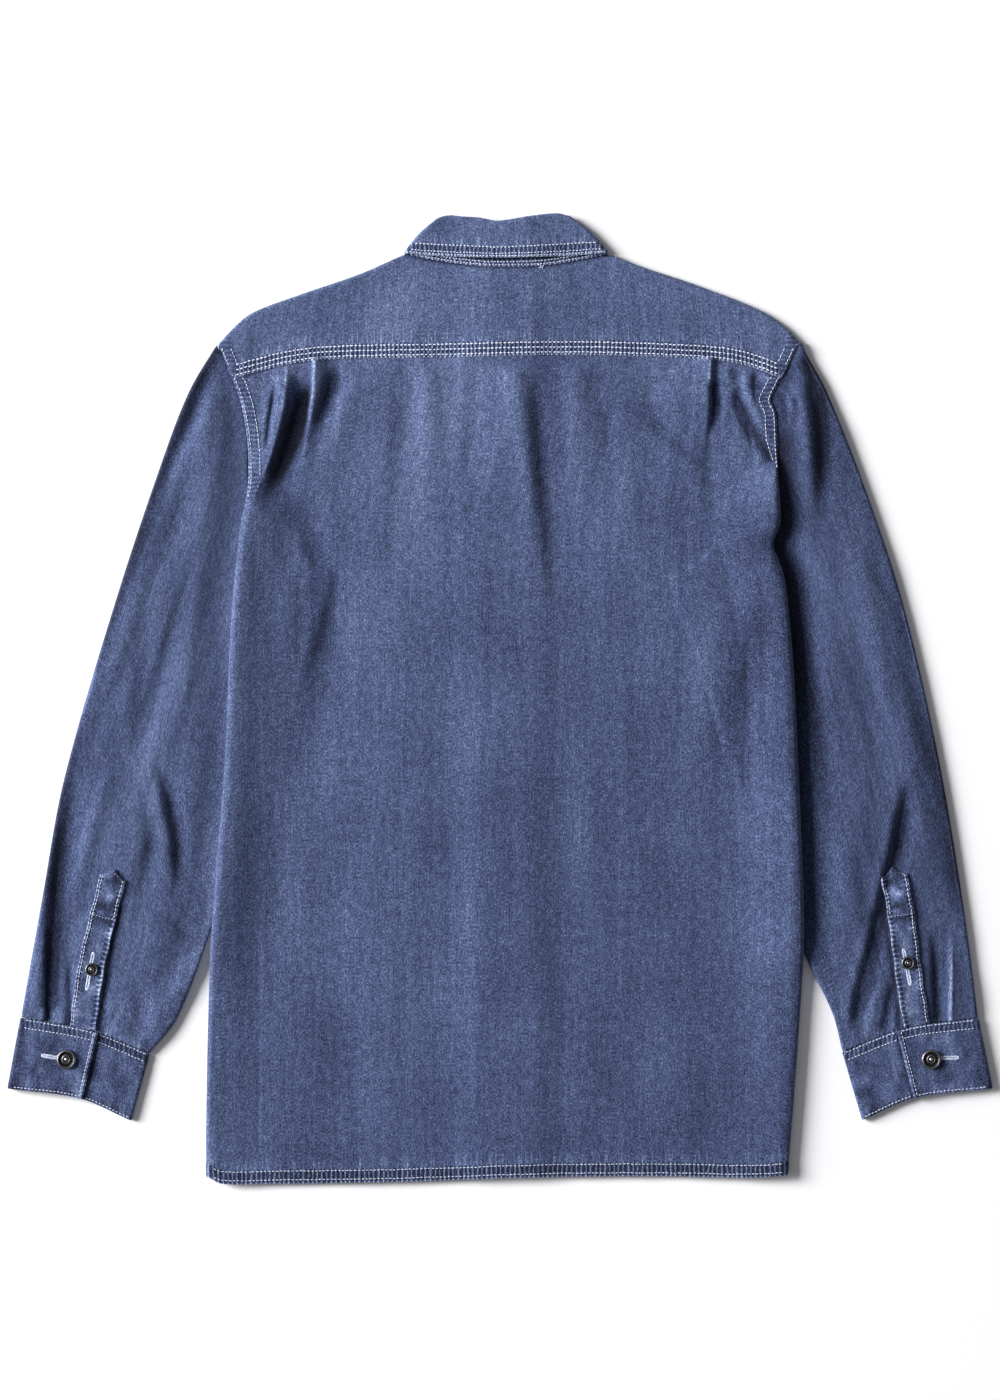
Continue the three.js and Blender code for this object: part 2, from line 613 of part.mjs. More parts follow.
function yoke() {
  const parts = [
    { n: SHOULDER_COLUMNS, edge: curve(LEFT_SHOULDER), front: curve(LEFT_FRONT_SEAM) },
    { n: NECK_COLUMNS, edge: curve(BACK_NECK) },
    { n: SHOULDER_COLUMNS, edge: curve(RIGHT_SHOULDER), front: curve(RIGHT_FRONT_SEAM) },
  ];
  const columns = parts.flatMap((part, k) =>
    steps(part.n)
      .slice(k ? 1 : 0)
      .map((f) => ({ edge: part.edge(f), front: part.front?.(f), f, k })),
  );
  const borders = { start: columns[0], end: columns.at(-1) };
  const firstNeck = SHOULDER_COLUMNS;
  const lastNeck = SHOULDER_COLUMNS + NECK_COLUMNS;
  columns[lastNeck].front = parts[2].front(0);
  const inSeam = (n) => {
    const x = columns[n].edge.x;
    const share = (x - borders.start.edge.x) / (borders.end.edge.x - borders.start.edge.x);
    return yokeSeam(clamp(share));
  };
  const top = (n, v) => {
    const seam = inSeam(n);
    const p = seam.lerp(columns[n].edge, v);
    const atNeck = n >= firstNeck && n <= lastNeck;
    p.y -= atNeck ? 0 : SHOULDER_RADIUS * smooth((v - CREST_SHARE) / (1 - CREST_SHARE));
    return point(p.x, p.y, backLevel(p.x, p.y));
  };
  const fell = YOKE_FELL / YOKE_DEPTH;
  const rows = [0, fell, ...steps(YOKE_ROWS - 2).slice(1).map((f) => mix(fell, 1, f))];
  const rollRows = rollAngles.length + 1;
  const grid = rows.map((v) => columns.map((_, n) => top(n, v)));
  const crest = grid.at(-1);
  for (let r = 0; r < rollRows + YOKE_FRONT_ROWS; r += 1)
    grid.push(
      columns.map((c, n) => {
        if (!c.front) return crest[n].clone();
        const inner = n === firstNeck || n === lastNeck;
        const low = frontLevel(c.edge.x, c.edge.y, 0);
        const radius = (crest[n].z - low) / 2;
        const start = inner ? c.edge.clone().setY(c.edge.y - radius) : c.edge.clone();
        if (!inner) start.y -= SHOULDER_RADIUS;
        if (r < rollRows) {
          const a = ((r + 1) * Math.PI) / ROLL_STEPS;
          const out = Math.sin(a) * (inner ? radius : SHOULDER_RADIUS);
          return point(start.x, start.y + out, low + radius * (1 + Math.cos(a)));
        }
        const p = start.lerp(c.front, (r - rollRows + 1) / YOKE_FRONT_ROWS);
        return point(p.x, p.y, frontLevel(p.x, p.y, 0));
      }),
    );
  const over = rows.length - 1;
  const keep = (i, j) => i < over || j < firstNeck || j >= lastNeck;
  const thick = (i) => (i < 2 ? FELL_CLOTH : CLOTH);
  return wall(grid, thick, false, keep);
}
add("yoke", yoke());

// Fronts: flat on the surface but for the raised buttoned edge and the cloth on the collar.

const FRONT_COLUMNS = 9;
const STRIP_COLUMNS = 5;
const FRONT_NECK_Y = 304;
const FRONT_NECK = [
  { out: 20, rise: 1.5 },
  { out: 50, rise: 12 },
];
const FRONT_HEM_RISE = 2; // a front ends this much above the back
const UNDERARM_STEP = 9; // from the underarm to the first row of its side seam
function front(side, plan, seam, over) {
  const s = side.sign;
  const neckPoint = s < 0 ? seam[1] : seam[0];
  const inner = CENTRE_FRONT - s * FRONT_OVERLAP;
  const armhole = frontArmhole(side, plan);
  const underarm = armhole.at(-1);
  const seamRows = backRows
    .map((v) => sideRowY(side, v))
    .filter((y) => y < underarm.y - UNDERARM_STEP);
  seamRows.splice(-1, 1, seamRows.at(-1) + FRONT_HEM_RISE);
  const outer = [
    ...armhole,
    ...seamRows.map((y) => point(side.under(y) - s * SEAM_GAP, y)),
  ];
  const armPoint = outer[0];
  const neck = [
    { x: inner, y: FRONT_NECK_Y },
    ...FRONT_NECK.map(({ out, rise }) => ({ x: CENTRE_FRONT + s * out, y: FRONT_NECK_Y + rise })),
    { x: neckPoint.x, y: neckPoint.y - FRONT_SEAM_GAP },
  ];
  const shoulder = [neck.at(-1), armPoint];
  const top = (t) => (t < 0.5 ? curve(neck)(2 * t) : curve(shoulder)(2 * t - 1));
  const hem = (t) => {
    const x = mix(inner, outer.at(-1).x, t);
    return point(x, mix(hemY(x) + FRONT_HEM_RISE, outer.at(-1).y, t));
  };
  const reach = [0];
  for (let k = 1; k < outer.length; k += 1)
    reach.push(reach[k - 1] + outer[k].distanceTo(outer[k - 1]));
  const centre = reach.map((r) => point(inner, mix(FRONT_NECK_Y, hem(0).y, r / reach.at(-1))));
  const listed = (points) => (t) => points[Math.round(t * (points.length - 1))].clone();
  const plane = patch(top, hem, listed(centre), listed(outer));
  const stripShare = (STRIP_HALF + STRIP_RAMP + FRONT_OVERLAP) / Math.abs(inner - armPoint.x);
  const across = [
    ...steps(STRIP_COLUMNS).map((f) => f * stripShare),
    ...steps(FRONT_COLUMNS - STRIP_COLUMNS)
      .slice(1)
      .map((f) => mix(stripShare, 1, f)),
  ];
  const grid = steps(outer.length - 1).map((t) =>
    across.map((f) => {
      const p = plane(f, t);
      return point(p.x, p.y, frontLevel(p.x, p.y, over));
    }),
  );
  return wall(grid, () => CLOTH);
}
add("front_left", front(left, LEFT_SLEEVE_PLAN, LEFT_FRONT_SEAM, 0));
add("front_right", front(right, RIGHT_SLEEVE_PLAN, RIGHT_FRONT_SEAM, 1));

// Sleeves: flat tubes from the armhole to the cuff, with folds in the upper layer.

const LEFT_SLEEVE_FOLDS = traced([
  { name: "sleeve head", x1: -238, y1: 282, xm: -250, ym: 230, x2: -268, y2: 150,
    height: 2.4, west: 16, east: 16, head: 0.3, tail: 0.6 },
  { name: "shoulder trough", x1: -246, y1: 284, xm: -264, ym: 232, x2: -284, y2: 170,
    height: -2, west: 8, east: 8, head: 0.2, tail: 0.6 },
  { name: "upper ridge", x1: -270, y1: 200, xm: -300, ym: 90, x2: -322, y2: -40,
    height: 1.6, west: 18, east: 24, head: 0.5, tail: 0.5 },
  { name: "lower ridge", x1: -310, y1: -20, xm: -330, ym: -100, x2: -330, y2: -190,
    height: 2, west: 24, east: 20, head: 0.5, tail: 0.6 },
  { name: "outer trough", x1: -356, y1: -70, xm: -375, ym: -150, x2: -383, y2: -268,
    height: -3, west: 7, east: 12, head: 0.6, tail: 0.08 },
  { name: "cuff pleat", x1: -384, y1: -160, xm: -388, ym: -210, x2: -388, y2: -272,
    height: 1.8, west: 8, east: 4, head: 0.7, tail: 0.02 },
  { name: "elbow crease", x1: -312, y1: -60, xm: -296, ym: -120, x2: -316, y2: -200,
    height: -2.2, west: 7, east: 10, head: 0.5, tail: 0.6 },
]);
const RIGHT_SLEEVE_FOLDS = traced([
  { name: "sleeve head", x1: 246, y1: 280, xm: 258, ym: 230, x2: 262, y2: 150,
    height: 3, west: 10, east: 9, head: 0.2, tail: 0.6 },
  { name: "shoulder trough", x1: 258, y1: 292, xm: 276, ym: 236, x2: 272, y2: 118,
    height: -3.6, west: 6, east: 9, head: 0.2, tail: 0.4 },
  { name: "upper ridge", x1: 290, y1: 200, xm: 310, ym: 60, x2: 340, y2: -80,
    height: 1.8, west: 20, east: 24, head: 0.5, tail: 0.5 },
  { name: "long trough", x1: 350, y1: -62, xm: 336, ym: -130, x2: 298, y2: -296,
    height: -3.2, west: 8, east: 9, head: 0.5, tail: 0.1 },
  { name: "inner ridge", x1: 312, y1: -60, xm: 300, ym: -140, x2: 286, y2: -230,
    height: 1.8, west: 16, east: 14, head: 0.5, tail: 0.6 },
  { name: "cuff pleat", x1: 385, y1: -190, xm: 383, ym: -230, x2: 383, y2: -274,
    height: 1.6, west: 5, east: 9, head: 0.7, tail: 0.02 },
  { name: "placket trough", x1: 370, y1: -190, xm: 373, ym: -230, x2: 369, y2: -276,
    height: -2, west: 6, east: 6, head: 0.6, tail: 0.1 },
]);
const SLEEVE_ROWS = 18;
const SLEEVE_TOP_COLUMNS = 14;
const SLEEVE_CROWD = 0.35; // how much closer the columns lie at its outer edge
const ROW_CROWD = 0.25; // and the rows at the armhole
// Where the sleeve's height changes: from a start, over a reach.
const ARMHOLE_RISE = { start: 188, reach: 20 }; // y, beside the open armhole
const BODY_RISE = { start: 2, reach: 34 }; // distance out from the body's edge
const BELOW_BODY = { start: 200, reach: 30 }; // -y, past the body's cover
const CUFF_EASE = { start: -275, reach: 90 }; // y, above the cuff
const eased = (value, { start, reach }) => smooth((value - start) / reach);

function sleeveLevel(side, folds, x, y) {
  const near = mix(TUCKED_SLEEVE, ARMHOLE_SLEEVE, eased(y, ARMHOLE_RISE));
  const open = mix(CUFF_LEVEL, SLEEVE_LEVEL, eased(y, CUFF_EASE)) + foldHeight(folds, x, y);
  const out = (x - side.edge(y)) * side.sign;
  const rise = Math.max(eased(out, BODY_RISE), eased(-y, BELOW_BODY));
  return Math.max(mix(near, open, rise), TUCKED_SLEEVE);
}

// Radii of a sleeve's edges. The inner edge's grows over these shares of the sleeve's length.
const OUTER_ROLL = 2.2;
const INNER_ROLL = { tucked: 1, open: 2, start: 0.8, reach: 0.12 };

// Rows of a sleeve, each a loop: outer roll, upper layer, inner roll, lower layer.
function sleeveGrid(side, plan, folds) {
  const flat = patch(
    curve(plan.armhole),
    curve(plan.seam),
    curve(plan.outer),
    curve(plan.inner),
  );
  const widthAt = (t) => flat(0, t).distanceTo(flat(1, t));
  const innerRadius = (t) => mix(INNER_ROLL.tucked, INNER_ROLL.open, eased(t, INNER_ROLL));
  const upper = (s, t) => {
    const p = flat(s, t);
    return point(p.x, p.y, sleeveLevel(side, folds, p.x, p.y));
  };
  const ring = (t) => {
    const width = widthAt(t);
    const edge = (s0, sense, radius, angles) =>
      angles.map((a) => {
        const s = s0 + (sense * radius * (1 - Math.sin(a))) / width;
        const p = upper(s, t);
        const middle = FLOOR + radius;
        const high = Math.max(p.z, FLOOR + 2 * radius) - middle;
        const z = a < Math.PI / 2 ? middle + high * Math.cos(a) : middle + radius * Math.cos(a);
        return point(p.x, p.y, z);
      });
    const rise = rollAngles.map((a) => Math.PI - a);
    const inner = innerRadius(t);
    const a = OUTER_ROLL / width;
    const b = 1 - inner / width;
    const across = steps(SLEEVE_TOP_COLUMNS, SLEEVE_CROWD).map((f) => upper(mix(a, b, f), t));
    const under = [a, ...armholeShares.slice(0, -1), b]
      .reverse()
      .map((s) => flat(s, t).setZ(FLOOR));
    return [
      ...edge(0, 1, OUTER_ROLL, rise),
      ...across,
      ...edge(1, -1, inner, rollAngles),
      ...under,
    ];
  };
  return steps(SLEEVE_ROWS, ROW_CROWD).map((t) => ring(t * (1 - GAP / SLEEVE_LENGTH)));
}
const leftSleeve = sleeveGrid(left, LEFT_SLEEVE_PLAN, LEFT_SLEEVE_FOLDS);
const rightSleeve = sleeveGrid(right, RIGHT_SLEEVE_PLAN, RIGHT_SLEEVE_FOLDS);
add("sleeve_left", wall(leftSleeve, () => CLOTH, true));
add("sleeve_right", wall(rightSleeve, () => CLOTH, true));

// Middle height of a sleeve's upper facets at x, y.
function facetHeight(grid, x, y) {
  const here = point(x, y);
  const first = rollAngles.length - 1;
  for (let i = 0; i < grid.length - 1; i += 1)
    for (let j = first; j < first + SLEEVE_TOP_COLUMNS + 1; j += 1) {
      const [a, b, c, d] = [grid[i][j], grid[i][j + 1], grid[i + 1][j + 1], grid[i + 1][j]];
      for (const corners of [
        [a, b, c],
        [a, c, d],
      ]) {
        const flat = corners.map((p) => p.clone().setZ(0));
        const share = THREE.Triangle.getBarycoord(here, ...flat, point(0, 0));
        if (share && Math.min(...share.toArray()) > -1e-6)
          return share.dot(point(...corners.map((p) => p.z)));
      }
    }
  return NaN;
}

// Cuffs: a strip from the covered end, round the inner edge, under, round the outer edge, and
// over itself to the buttonhole end.

const CUFF_ROWS = 3;
const FLAP_END = 0.59; // share of the cuff's width that the buttonhole end covers
const COVERED_END = 0.36;
const COVERED_LEVEL = 4.1; // middle of the covered layer
const FLAP_LEVEL = COVERED_LEVEL + CUFF_CLOTH + GAP;
const CUFF_FLOOR = CUFF_CLOTH / 2;
const FLAP_DROP = { fall: 0.8, reach: 0.4 }; // the flap is lower at its roll, over this share
const COVERED_STEPS = 7;
const UNDER_STEPS = 5;
const FLAP_STEPS = 6;

function cuffPlan(plan) {
  const seam = curve(plan.seam);
  const end = curve(plan.end);
  const straight = (a, b) => (t) => a.clone().lerp(b, t);
  return patch(seam, end, straight(seam(0), end(0)), straight(seam(1), end(1)));
}

function cuff(plan) {
  const flat = cuffPlan(plan);
  const width = flat(0, 0.5).distanceTo(flat(1, 0.5));
  const outerRadius = (FLAP_LEVEL - FLAP_DROP.fall - CUFF_FLOOR) / 2;
  const innerRadius = (COVERED_LEVEL - CUFF_FLOOR) / 2;
  const place = (s, z) => (t) => flat(s, t).setZ(z);
  const rolled = (s0, sense, radius) => (a) =>
    place(s0 + (sense * radius * (1 - Math.sin(a))) / width, CUFF_FLOOR + radius * (1 + Math.cos(a)));
  const a = outerRadius / width;
  const b = 1 - innerRadius / width;
  const flapZ = (f) => FLAP_LEVEL - FLAP_DROP.fall * (1 - smooth(f / FLAP_DROP.reach));
  const section = [
    ...steps(COVERED_STEPS).map((f) => place(mix(COVERED_END, b, f), COVERED_LEVEL)),
    ...rollAngles.map(rolled(1, -1, innerRadius)),
    ...steps(UNDER_STEPS).map((f) => place(mix(b, a, f), CUFF_FLOOR)),
    ...rollAngles.map((r) => Math.PI - r).map(rolled(0, 1, outerRadius)),
    ...steps(FLAP_STEPS).map((f) => place(mix(a, FLAP_END, f), flapZ(f))),
  ];
  const start = GAP / CUFF_DEPTH;
  const grid = steps(CUFF_ROWS).map((t) => section.map((at) => at(mix(start, 1, t))));
  return wall(grid, () => CUFF_CLOTH);
}
add("cuff_left", cuff(LEFT_SLEEVE_PLAN));
add("cuff_right", cuff(RIGHT_SLEEVE_PLAN));

// Sleeve plackets: a pointed strip on each sleeve, ending at the cuff's buttonhole end.

const PLACKET_HALF = 11;
const PLACKET_CLOTH = 1.6;
const PLACKET_SEAT = 0.45; // above the sleeve, which it follows
const LEFT_PLACKET = [
  { x: -328.4, y: -151 },
  { x: -334.2, y: -174 },
  { x: -341, y: -200.6 },
  { x: -347.6, y: -231 },
  { x: -353, y: -270 },
];
const RIGHT_PLACKET = [
  { x: 334.5, y: -149.5 },
  { x: 339, y: -172.5 },
  { x: 343.4, y: -204 },
  { x: 348, y: -240 },
  { x: 352.6, y: -268 },
];
const POINT_LENGTH = 8;
const SHOULDER_INSET = 0.25; // share by which its sides draw in at the point
const PLACKET_ROWS = 12;
const PLACKET_COLUMNS = 4;
const STEP = 0.02; // share of its length over which its direction is read

function placket(sleeve, rows) {
  const line = curve(rows);
  const across = steps(PLACKET_COLUMNS).map((f) => 2 * f - 1);
  const grid = [0, ...steps(PLACKET_ROWS)].map((t, i) => {
    const here = line(t);
    const way = line(Math.min(1, t + STEP)).sub(line(Math.max(0, t - STEP))).normalize();
    const out = point(-way.y, way.x);
    return across.map((f) => {
      const p = here.clone().addScaledVector(out, f * PLACKET_HALF);
      if (i === 0)
        p.lerp(here, SHOULDER_INSET).addScaledVector(way, -POINT_LENGTH * (1 - Math.abs(f)));
      const lift = CLOTH / 2 + PLACKET_SEAT + PLACKET_CLOTH / 2;
      return point(p.x, p.y, facetHeight(sleeve, p.x, p.y) + lift);
    });
  });
  return wall(grid, () => PLACKET_CLOTH);
}
add("placket_left", placket(leftSleeve, LEFT_PLACKET));
add("placket_right", placket(rightSleeve, RIGHT_PLACKET));

// Collar: the stand rises from the neck and the leaf folds down over it. Each runs from one
// front end, round the left of the neck, across the back and round to the other front end.

const COLLAR_TOP_COLUMNS = 14;
const COLLAR_FRONT_COLUMNS = 7;
const LEAF_EASE = 0.2;
const LEAF_SEAT = CLOTH / 2 + GAP + LEAF_EASE + LEAF_CLOTH / 2; // above the stand
const FOLD_REACH = 0.1; // share of a piece's depth over which it turns at its fold
// foldBow and edgeBow are how far its front parts bow outwards, and lowTurn and topTurn how
// far its lower and upper layers come together at the fold.
const LEAF = {
  fold: [
    { x: -43.6, y: 410.8 },
    { x: -29, y: 410.6 },
    { x: -2, y: 406.8 },
    { x: 24.7, y: 410.8 },
    { x: 48, y: 413 },
    { x: 58, y: 410.6 },
  ],
  edge: [
    { x: -80, y: 379 },
    { x: -59.5, y: 377 },
    { x: -3.4, y: 375 },
    { x: 52.7, y: 376.4 },
    { x: 91.6, y: 379.6 },
  ],
  leftEnd: { fold: { x: 3.6, y: 334 }, point: { x: -48, y: 274 } },
  rightEnd: { fold: { x: 8.4, y: 334 }, point: { x: 62, y: 274 } },
  foldBow: -4,
  edgeBow: 8,
  lowTurn: 0.3,
  topTurn: 1,
  thick: LEAF_CLOTH,
  rows: [0, 0.05, 0.14, 0.4, 0.7, 1],
};
const STAND = {
  fold: [
    { x: -41, y: 407 },
    { x: -2, y: 403.4 },
    { x: 24.7, y: 407.8 },
    { x: 55, y: 407 },
  ],
  edge: [
    { x: -77, y: 378.6 },
    { x: -60, y: 374.2 },
    { x: -17, y: 368.6 },
    { x: 11, y: 368 },
    { x: 40, y: 369.2 },
    { x: 74, y: 375 },
    { x: 90, y: 378.6 },
  ],
  leftEnd: { fold: { x: CENTRE_FRONT + 15, y: 320 }, point: { x: CENTRE_FRONT + 17, y: 305 } },
  rightEnd: { fold: { x: CENTRE_FRONT - 15, y: 320 }, point: { x: CENTRE_FRONT - 17, y: 305 } },
  foldBow: 6,
  edgeBow: -6,
  lowTurn: 0,
  topTurn: 0,
  thick: CLOTH,
  rows: [0, 0.5, 1],
};

function collarPiece(shape, topLevel, lowLevel) {
  const fold = curve(shape.fold);
  const edge = curve(shape.edge);
  const straight = (a, b) => (t) => a.clone().lerp(b, t);
  const sides = [
    { at: 0, end: shape.leftEnd, sign: -1 },
    { at: 1, end: shape.rightEnd, sign: 1 },
  ].map((side) => {
    const crease = straight(fold(side.at), edge(side.at));
    const endFold = point(side.end.fold.x, side.end.fold.y);
    const endPoint = point(side.end.point.x, side.end.point.y);
    const bow = (a, b, out) => {
      const middle = a.clone().lerp(b, 0.5).add(point(side.sign * out, 0));
      return curve([a, middle, b]);
    };
    const foldBow = bow(fold(side.at), endFold, shape.foldBow);
    const edgeBow = bow(edge(side.at), endPoint, shape.edgeBow);
    const low = patch(foldBow, edgeBow, crease, straight(endFold, endPoint));
    return { crease, low };
  });
  const top = patch(fold, edge, sides[0].crease, sides[1].crease);
  const row = (v) => {
    const turned = 1 - smooth(v / FOLD_REACH);
    const lowRise = shape.lowTurn * turned;
    const topDrop = shape.topTurn * turned;
    const width = top(0, v).distanceTo(top(1, v));
    const ends = sides.map(({ crease, low }, k) => {
      const c = crease(v);
      const base = lowLevel(c.x, c.y, k);
      const radius = (topLevel(c.x, c.y) - base) / 2;
      const inset = radius / width;
      const lowInset = radius / low(0, v).distanceTo(low(1, v));
      const shared = steps(COLLAR_FRONT_COLUMNS).slice(1).reverse();
      const front = shared.map((s) => {
        const p = low(mix(lowInset, 1, s), v);
        return point(p.x, p.y, lowLevel(p.x, p.y, k) + lowRise * (1 - s));
      });
      const roll = [0, ...rollAngles].map((a) => {
        const below = Math.cos(a) > 0;
        const reach = 1 - Math.sin(a);
        const p = below ? low(reach * lowInset, v) : top(Math.abs(k - reach * inset), v);
        const turn = Math.cos(a) * (below ? lowRise : topDrop);
        return point(p.x, p.y, base + radius * (1 - Math.cos(a)) + turn);
      });
      return { inset, strip: [...front, ...roll] };
    });
    const across = steps(COLLAR_TOP_COLUMNS).map((s) => {
      const p = top(mix(ends[0].inset, 1 - ends[1].inset, s), v);
      return point(p.x, p.y, topLevel(p.x, p.y) - topDrop);
    });
    return [...ends[0].strip, ...across, ...ends[1].strip.reverse()];
  };
  return wall(shape.rows.map(row), () => shape.thick);
}
const standTop = (x, y) => backLevel(x, y);
const standLow = (x, y, k) => frontLevel(x, y, k);
add("collar_stand", collarPiece(STAND, standTop, standLow));
const leafTop = (x, y) => backLevel(x, y) + LEAF_SEAT;
const leafLow = () => LEAF_CLOTH / 2;
add("collar_leaf", collarPiece(LEAF, leafTop, leafLow));

// Buttons: a rimmed dish with a domed middle. Cuff and placket buttons face up; those of the
// front, plain discs here, face down under its outer layer.

const BUTTON_SIDES = 14;
const DISH = [
  { r: 0, h: 0 },
  { r: 0.86, h: 0 },
  { r: 1, h: 0.4 },
  { r: 0.9, h: 1 },
  { r: 0.62, h: 0.72 },
  { r: 0.3, h: 0.78 },
  { r: 0, h: 0.95 },
];
const DISC = [
  { r: 0, h: 0 },
  { r: 0.92, h: 0 },
  { r: 1, h: 0.5 },
  { r: 0.92, h: 1 },
  { r: 0, h: 1 },
];
const FRONT_BUTTONS = 7;
const FRONT_BUTTON_PITCH = 92;
const FRONT_BUTTON_TOP = 262;

function button(name, { radius, height, profile }, x, y, z) {
  const outline = profile.map(({ r, h }) => new THREE.Vector2(r * radius, h * height));
  const mesh = add(name, new THREE.LatheGeometry(outline, BUTTON_SIDES), metal);
  mesh.rotation.x = Math.PI / 2;
  mesh.position.set(x, y, z);
}

const CUFF_BUTTON = { radius: 8.5, height: 2.6, profile: DISH };
const PLACKET_BUTTON = { radius: 5.7, height: 2.2, profile: DISH };
const FRONT_BUTTON = { radius: 7.5, height: 2.4, profile: DISC };
const COLLAR_BUTTON = { radius: 5.5, height: 2.2, profile: DISC };
const CUFF_BUTTONS = [
  { name: "cuff_button_left", x: -368, y: -305 },
  { name: "cuff_button_right", x: 366, y: -305 },
];
const PLACKET_BUTTONS = [
  { name: "placket_button_left", sleeve: leftSleeve, x: -346.5, y: -228.6 },
  { name: "placket_button_right", sleeve: rightSleeve, x: 346, y: -223 },
];
const COLLAR_BUTTON_Y = 317;

for (const { name, x, y } of CUFF_BUTTONS)
  button(name, CUFF_BUTTON, x, y, FLAP_LEVEL + CUFF_CLOTH / 2 + GAP);
const BUTTON_SEAT = 0.5; // over a placket, whose top may slope under the button
for (const { name, sleeve, x, y } of PLACKET_BUTTONS) {
  const placketTop = facetHeight(sleeve, x, y) + CLOTH / 2 + PLACKET_SEAT + PLACKET_CLOTH;
  button(name, PLACKET_BUTTON, x, y, placketTop + BUTTON_SEAT);
}

for (let n = 0; n < FRONT_BUTTONS; n += 1) {
  const y = FRONT_BUTTON_TOP - n * FRONT_BUTTON_PITCH;
  button(`front_button_${n + 1}`, FRONT_BUTTON, CENTRE_FRONT, y, 0);
}
button("collar_button", COLLAR_BUTTON, CENTRE_FRONT, COLLAR_BUTTON_Y, 0);

export default shirt;
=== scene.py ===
import json
import math

import bpy
import numpy as np
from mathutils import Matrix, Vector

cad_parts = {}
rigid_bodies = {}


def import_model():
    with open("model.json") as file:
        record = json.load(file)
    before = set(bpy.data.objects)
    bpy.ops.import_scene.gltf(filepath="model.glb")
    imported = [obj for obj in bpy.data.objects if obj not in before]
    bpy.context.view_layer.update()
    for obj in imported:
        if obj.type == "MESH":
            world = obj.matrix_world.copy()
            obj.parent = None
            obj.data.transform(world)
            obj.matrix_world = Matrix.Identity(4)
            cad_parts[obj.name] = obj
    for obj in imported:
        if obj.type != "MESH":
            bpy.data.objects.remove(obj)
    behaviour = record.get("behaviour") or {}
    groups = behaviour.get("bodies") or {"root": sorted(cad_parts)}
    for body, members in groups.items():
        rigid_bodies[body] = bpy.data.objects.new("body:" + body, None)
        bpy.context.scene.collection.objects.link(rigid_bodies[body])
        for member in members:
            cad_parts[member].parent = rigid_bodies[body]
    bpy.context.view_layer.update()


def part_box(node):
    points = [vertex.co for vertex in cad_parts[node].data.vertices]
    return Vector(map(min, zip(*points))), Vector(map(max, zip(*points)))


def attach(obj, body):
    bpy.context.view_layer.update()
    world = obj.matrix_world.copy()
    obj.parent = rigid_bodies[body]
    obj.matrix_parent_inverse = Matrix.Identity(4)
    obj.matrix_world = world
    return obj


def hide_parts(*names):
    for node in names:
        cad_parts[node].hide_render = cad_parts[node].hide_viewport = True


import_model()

# ---------------------------------------------------------------------------
# Back panel: one piece of washed denim from the yoke seam to the hem, with a
# pleat at each side under the yoke. Its sides roll under to the side seams, and
# its hem is turned and sewn twice.
# ---------------------------------------------------------------------------

# Lengths are millimetres: X across the shirt, Y towards the collar, Z up, as in the solids.
CLOTH = 1.2
FLOOR = CLOTH / 2  # middle of a layer that lies on the surface


def smooth(t):
    t = np.clip(t, 0.0, 1.0)
    return t * t * (3.0 - 2.0 * t)


def mix(a, b, t):
    return a + (b - a) * t


def ridge(t, middle, width):
    """1 at the middle, fading over about that width to both sides."""
    return np.exp(-(((t - middle) / width) ** 2))


def spread(*spans):
    """Rising numbers in runs of (first, last, how many). Each run but the last stops short."""
    short = [np.linspace(a, b, n, endpoint=False) for a, b, n in spans[:-1]]
    return np.concatenate([*short, np.linspace(*spans[-1])])


def lengths(line):
    """How far along a plan line each of its points is."""
    return np.concatenate([[0.0], np.cumsum(np.hypot(*np.diff(line, axis=0).T))])


def at_height(plan, z):
    """Points in space from points in plan and their heights."""
    return np.concatenate([plan, z[..., None]], axis=-1)


def spline(keys, values):
    """Cubic through values at rising keys, level with its neighbours' slope."""
    k, v = np.asarray(keys, float), np.asarray(values, float)
    slope = np.concatenate(
        [
            [(v[1] - v[0]) / (k[1] - k[0])],
            (v[2:] - v[:-2]) / (k[2:] - k[:-2]),
            [(v[-1] - v[-2]) / (k[-1] - k[-2])],
        ]
    )

    def at(key):
        key = np.clip(key, k[0], k[-1])
        i = np.clip(np.searchsorted(k, key) - 1, 0, len(k) - 2)
        h = k[i + 1] - k[i]
        t = (key - k[i]) / h
        return (
            v[i] * (1 + 2 * t) * (1 - t) ** 2
            + slope[i] * h * t * (1 - t) ** 2
            + v[i + 1] * t * t * (3 - 2 * t)
            - slope[i + 1] * h * t * t * (1 - t)
        )

    return at


def curve(points):
    """A smooth plan curve through points, read from 0 to 1 along its length."""
    p = np.asarray(points, float)
    reach = lengths(p)
    x, y = spline(reach, p[:, 0]), spline(reach, p[:, 1])
    return lambda t: np.stack([x(t * reach[-1]), y(t * reach[-1])], axis=-1)


def unevenness(x, y, across, along, seed):
    """Soft patches from -1 to 1 of that size across and along."""
    u, v = x / across + 37.2 * seed, y / along - 11.7 * seed
    i, j = np.floor(u).astype(np.int64), np.floor(v).astype(np.int64)
    a, b = smooth(u - i), smooth(v - j)

    def corner(di, dj):
        h = ((i + di) * 374761393 + (j + dj) * 668265263 + seed * 97463477) & 0xFFFFFFFF
        h = ((h ^ (h >> 13)) * 1274126177) & 0xFFFFFFFF
        return ((h ^ (h >> 16)) & 0xFFFF) / 32767.5 - 1.0

    return mix(mix(corner(0, 0), corner(1, 0), a), mix(corner(0, 1), corner(1, 1), a), b)


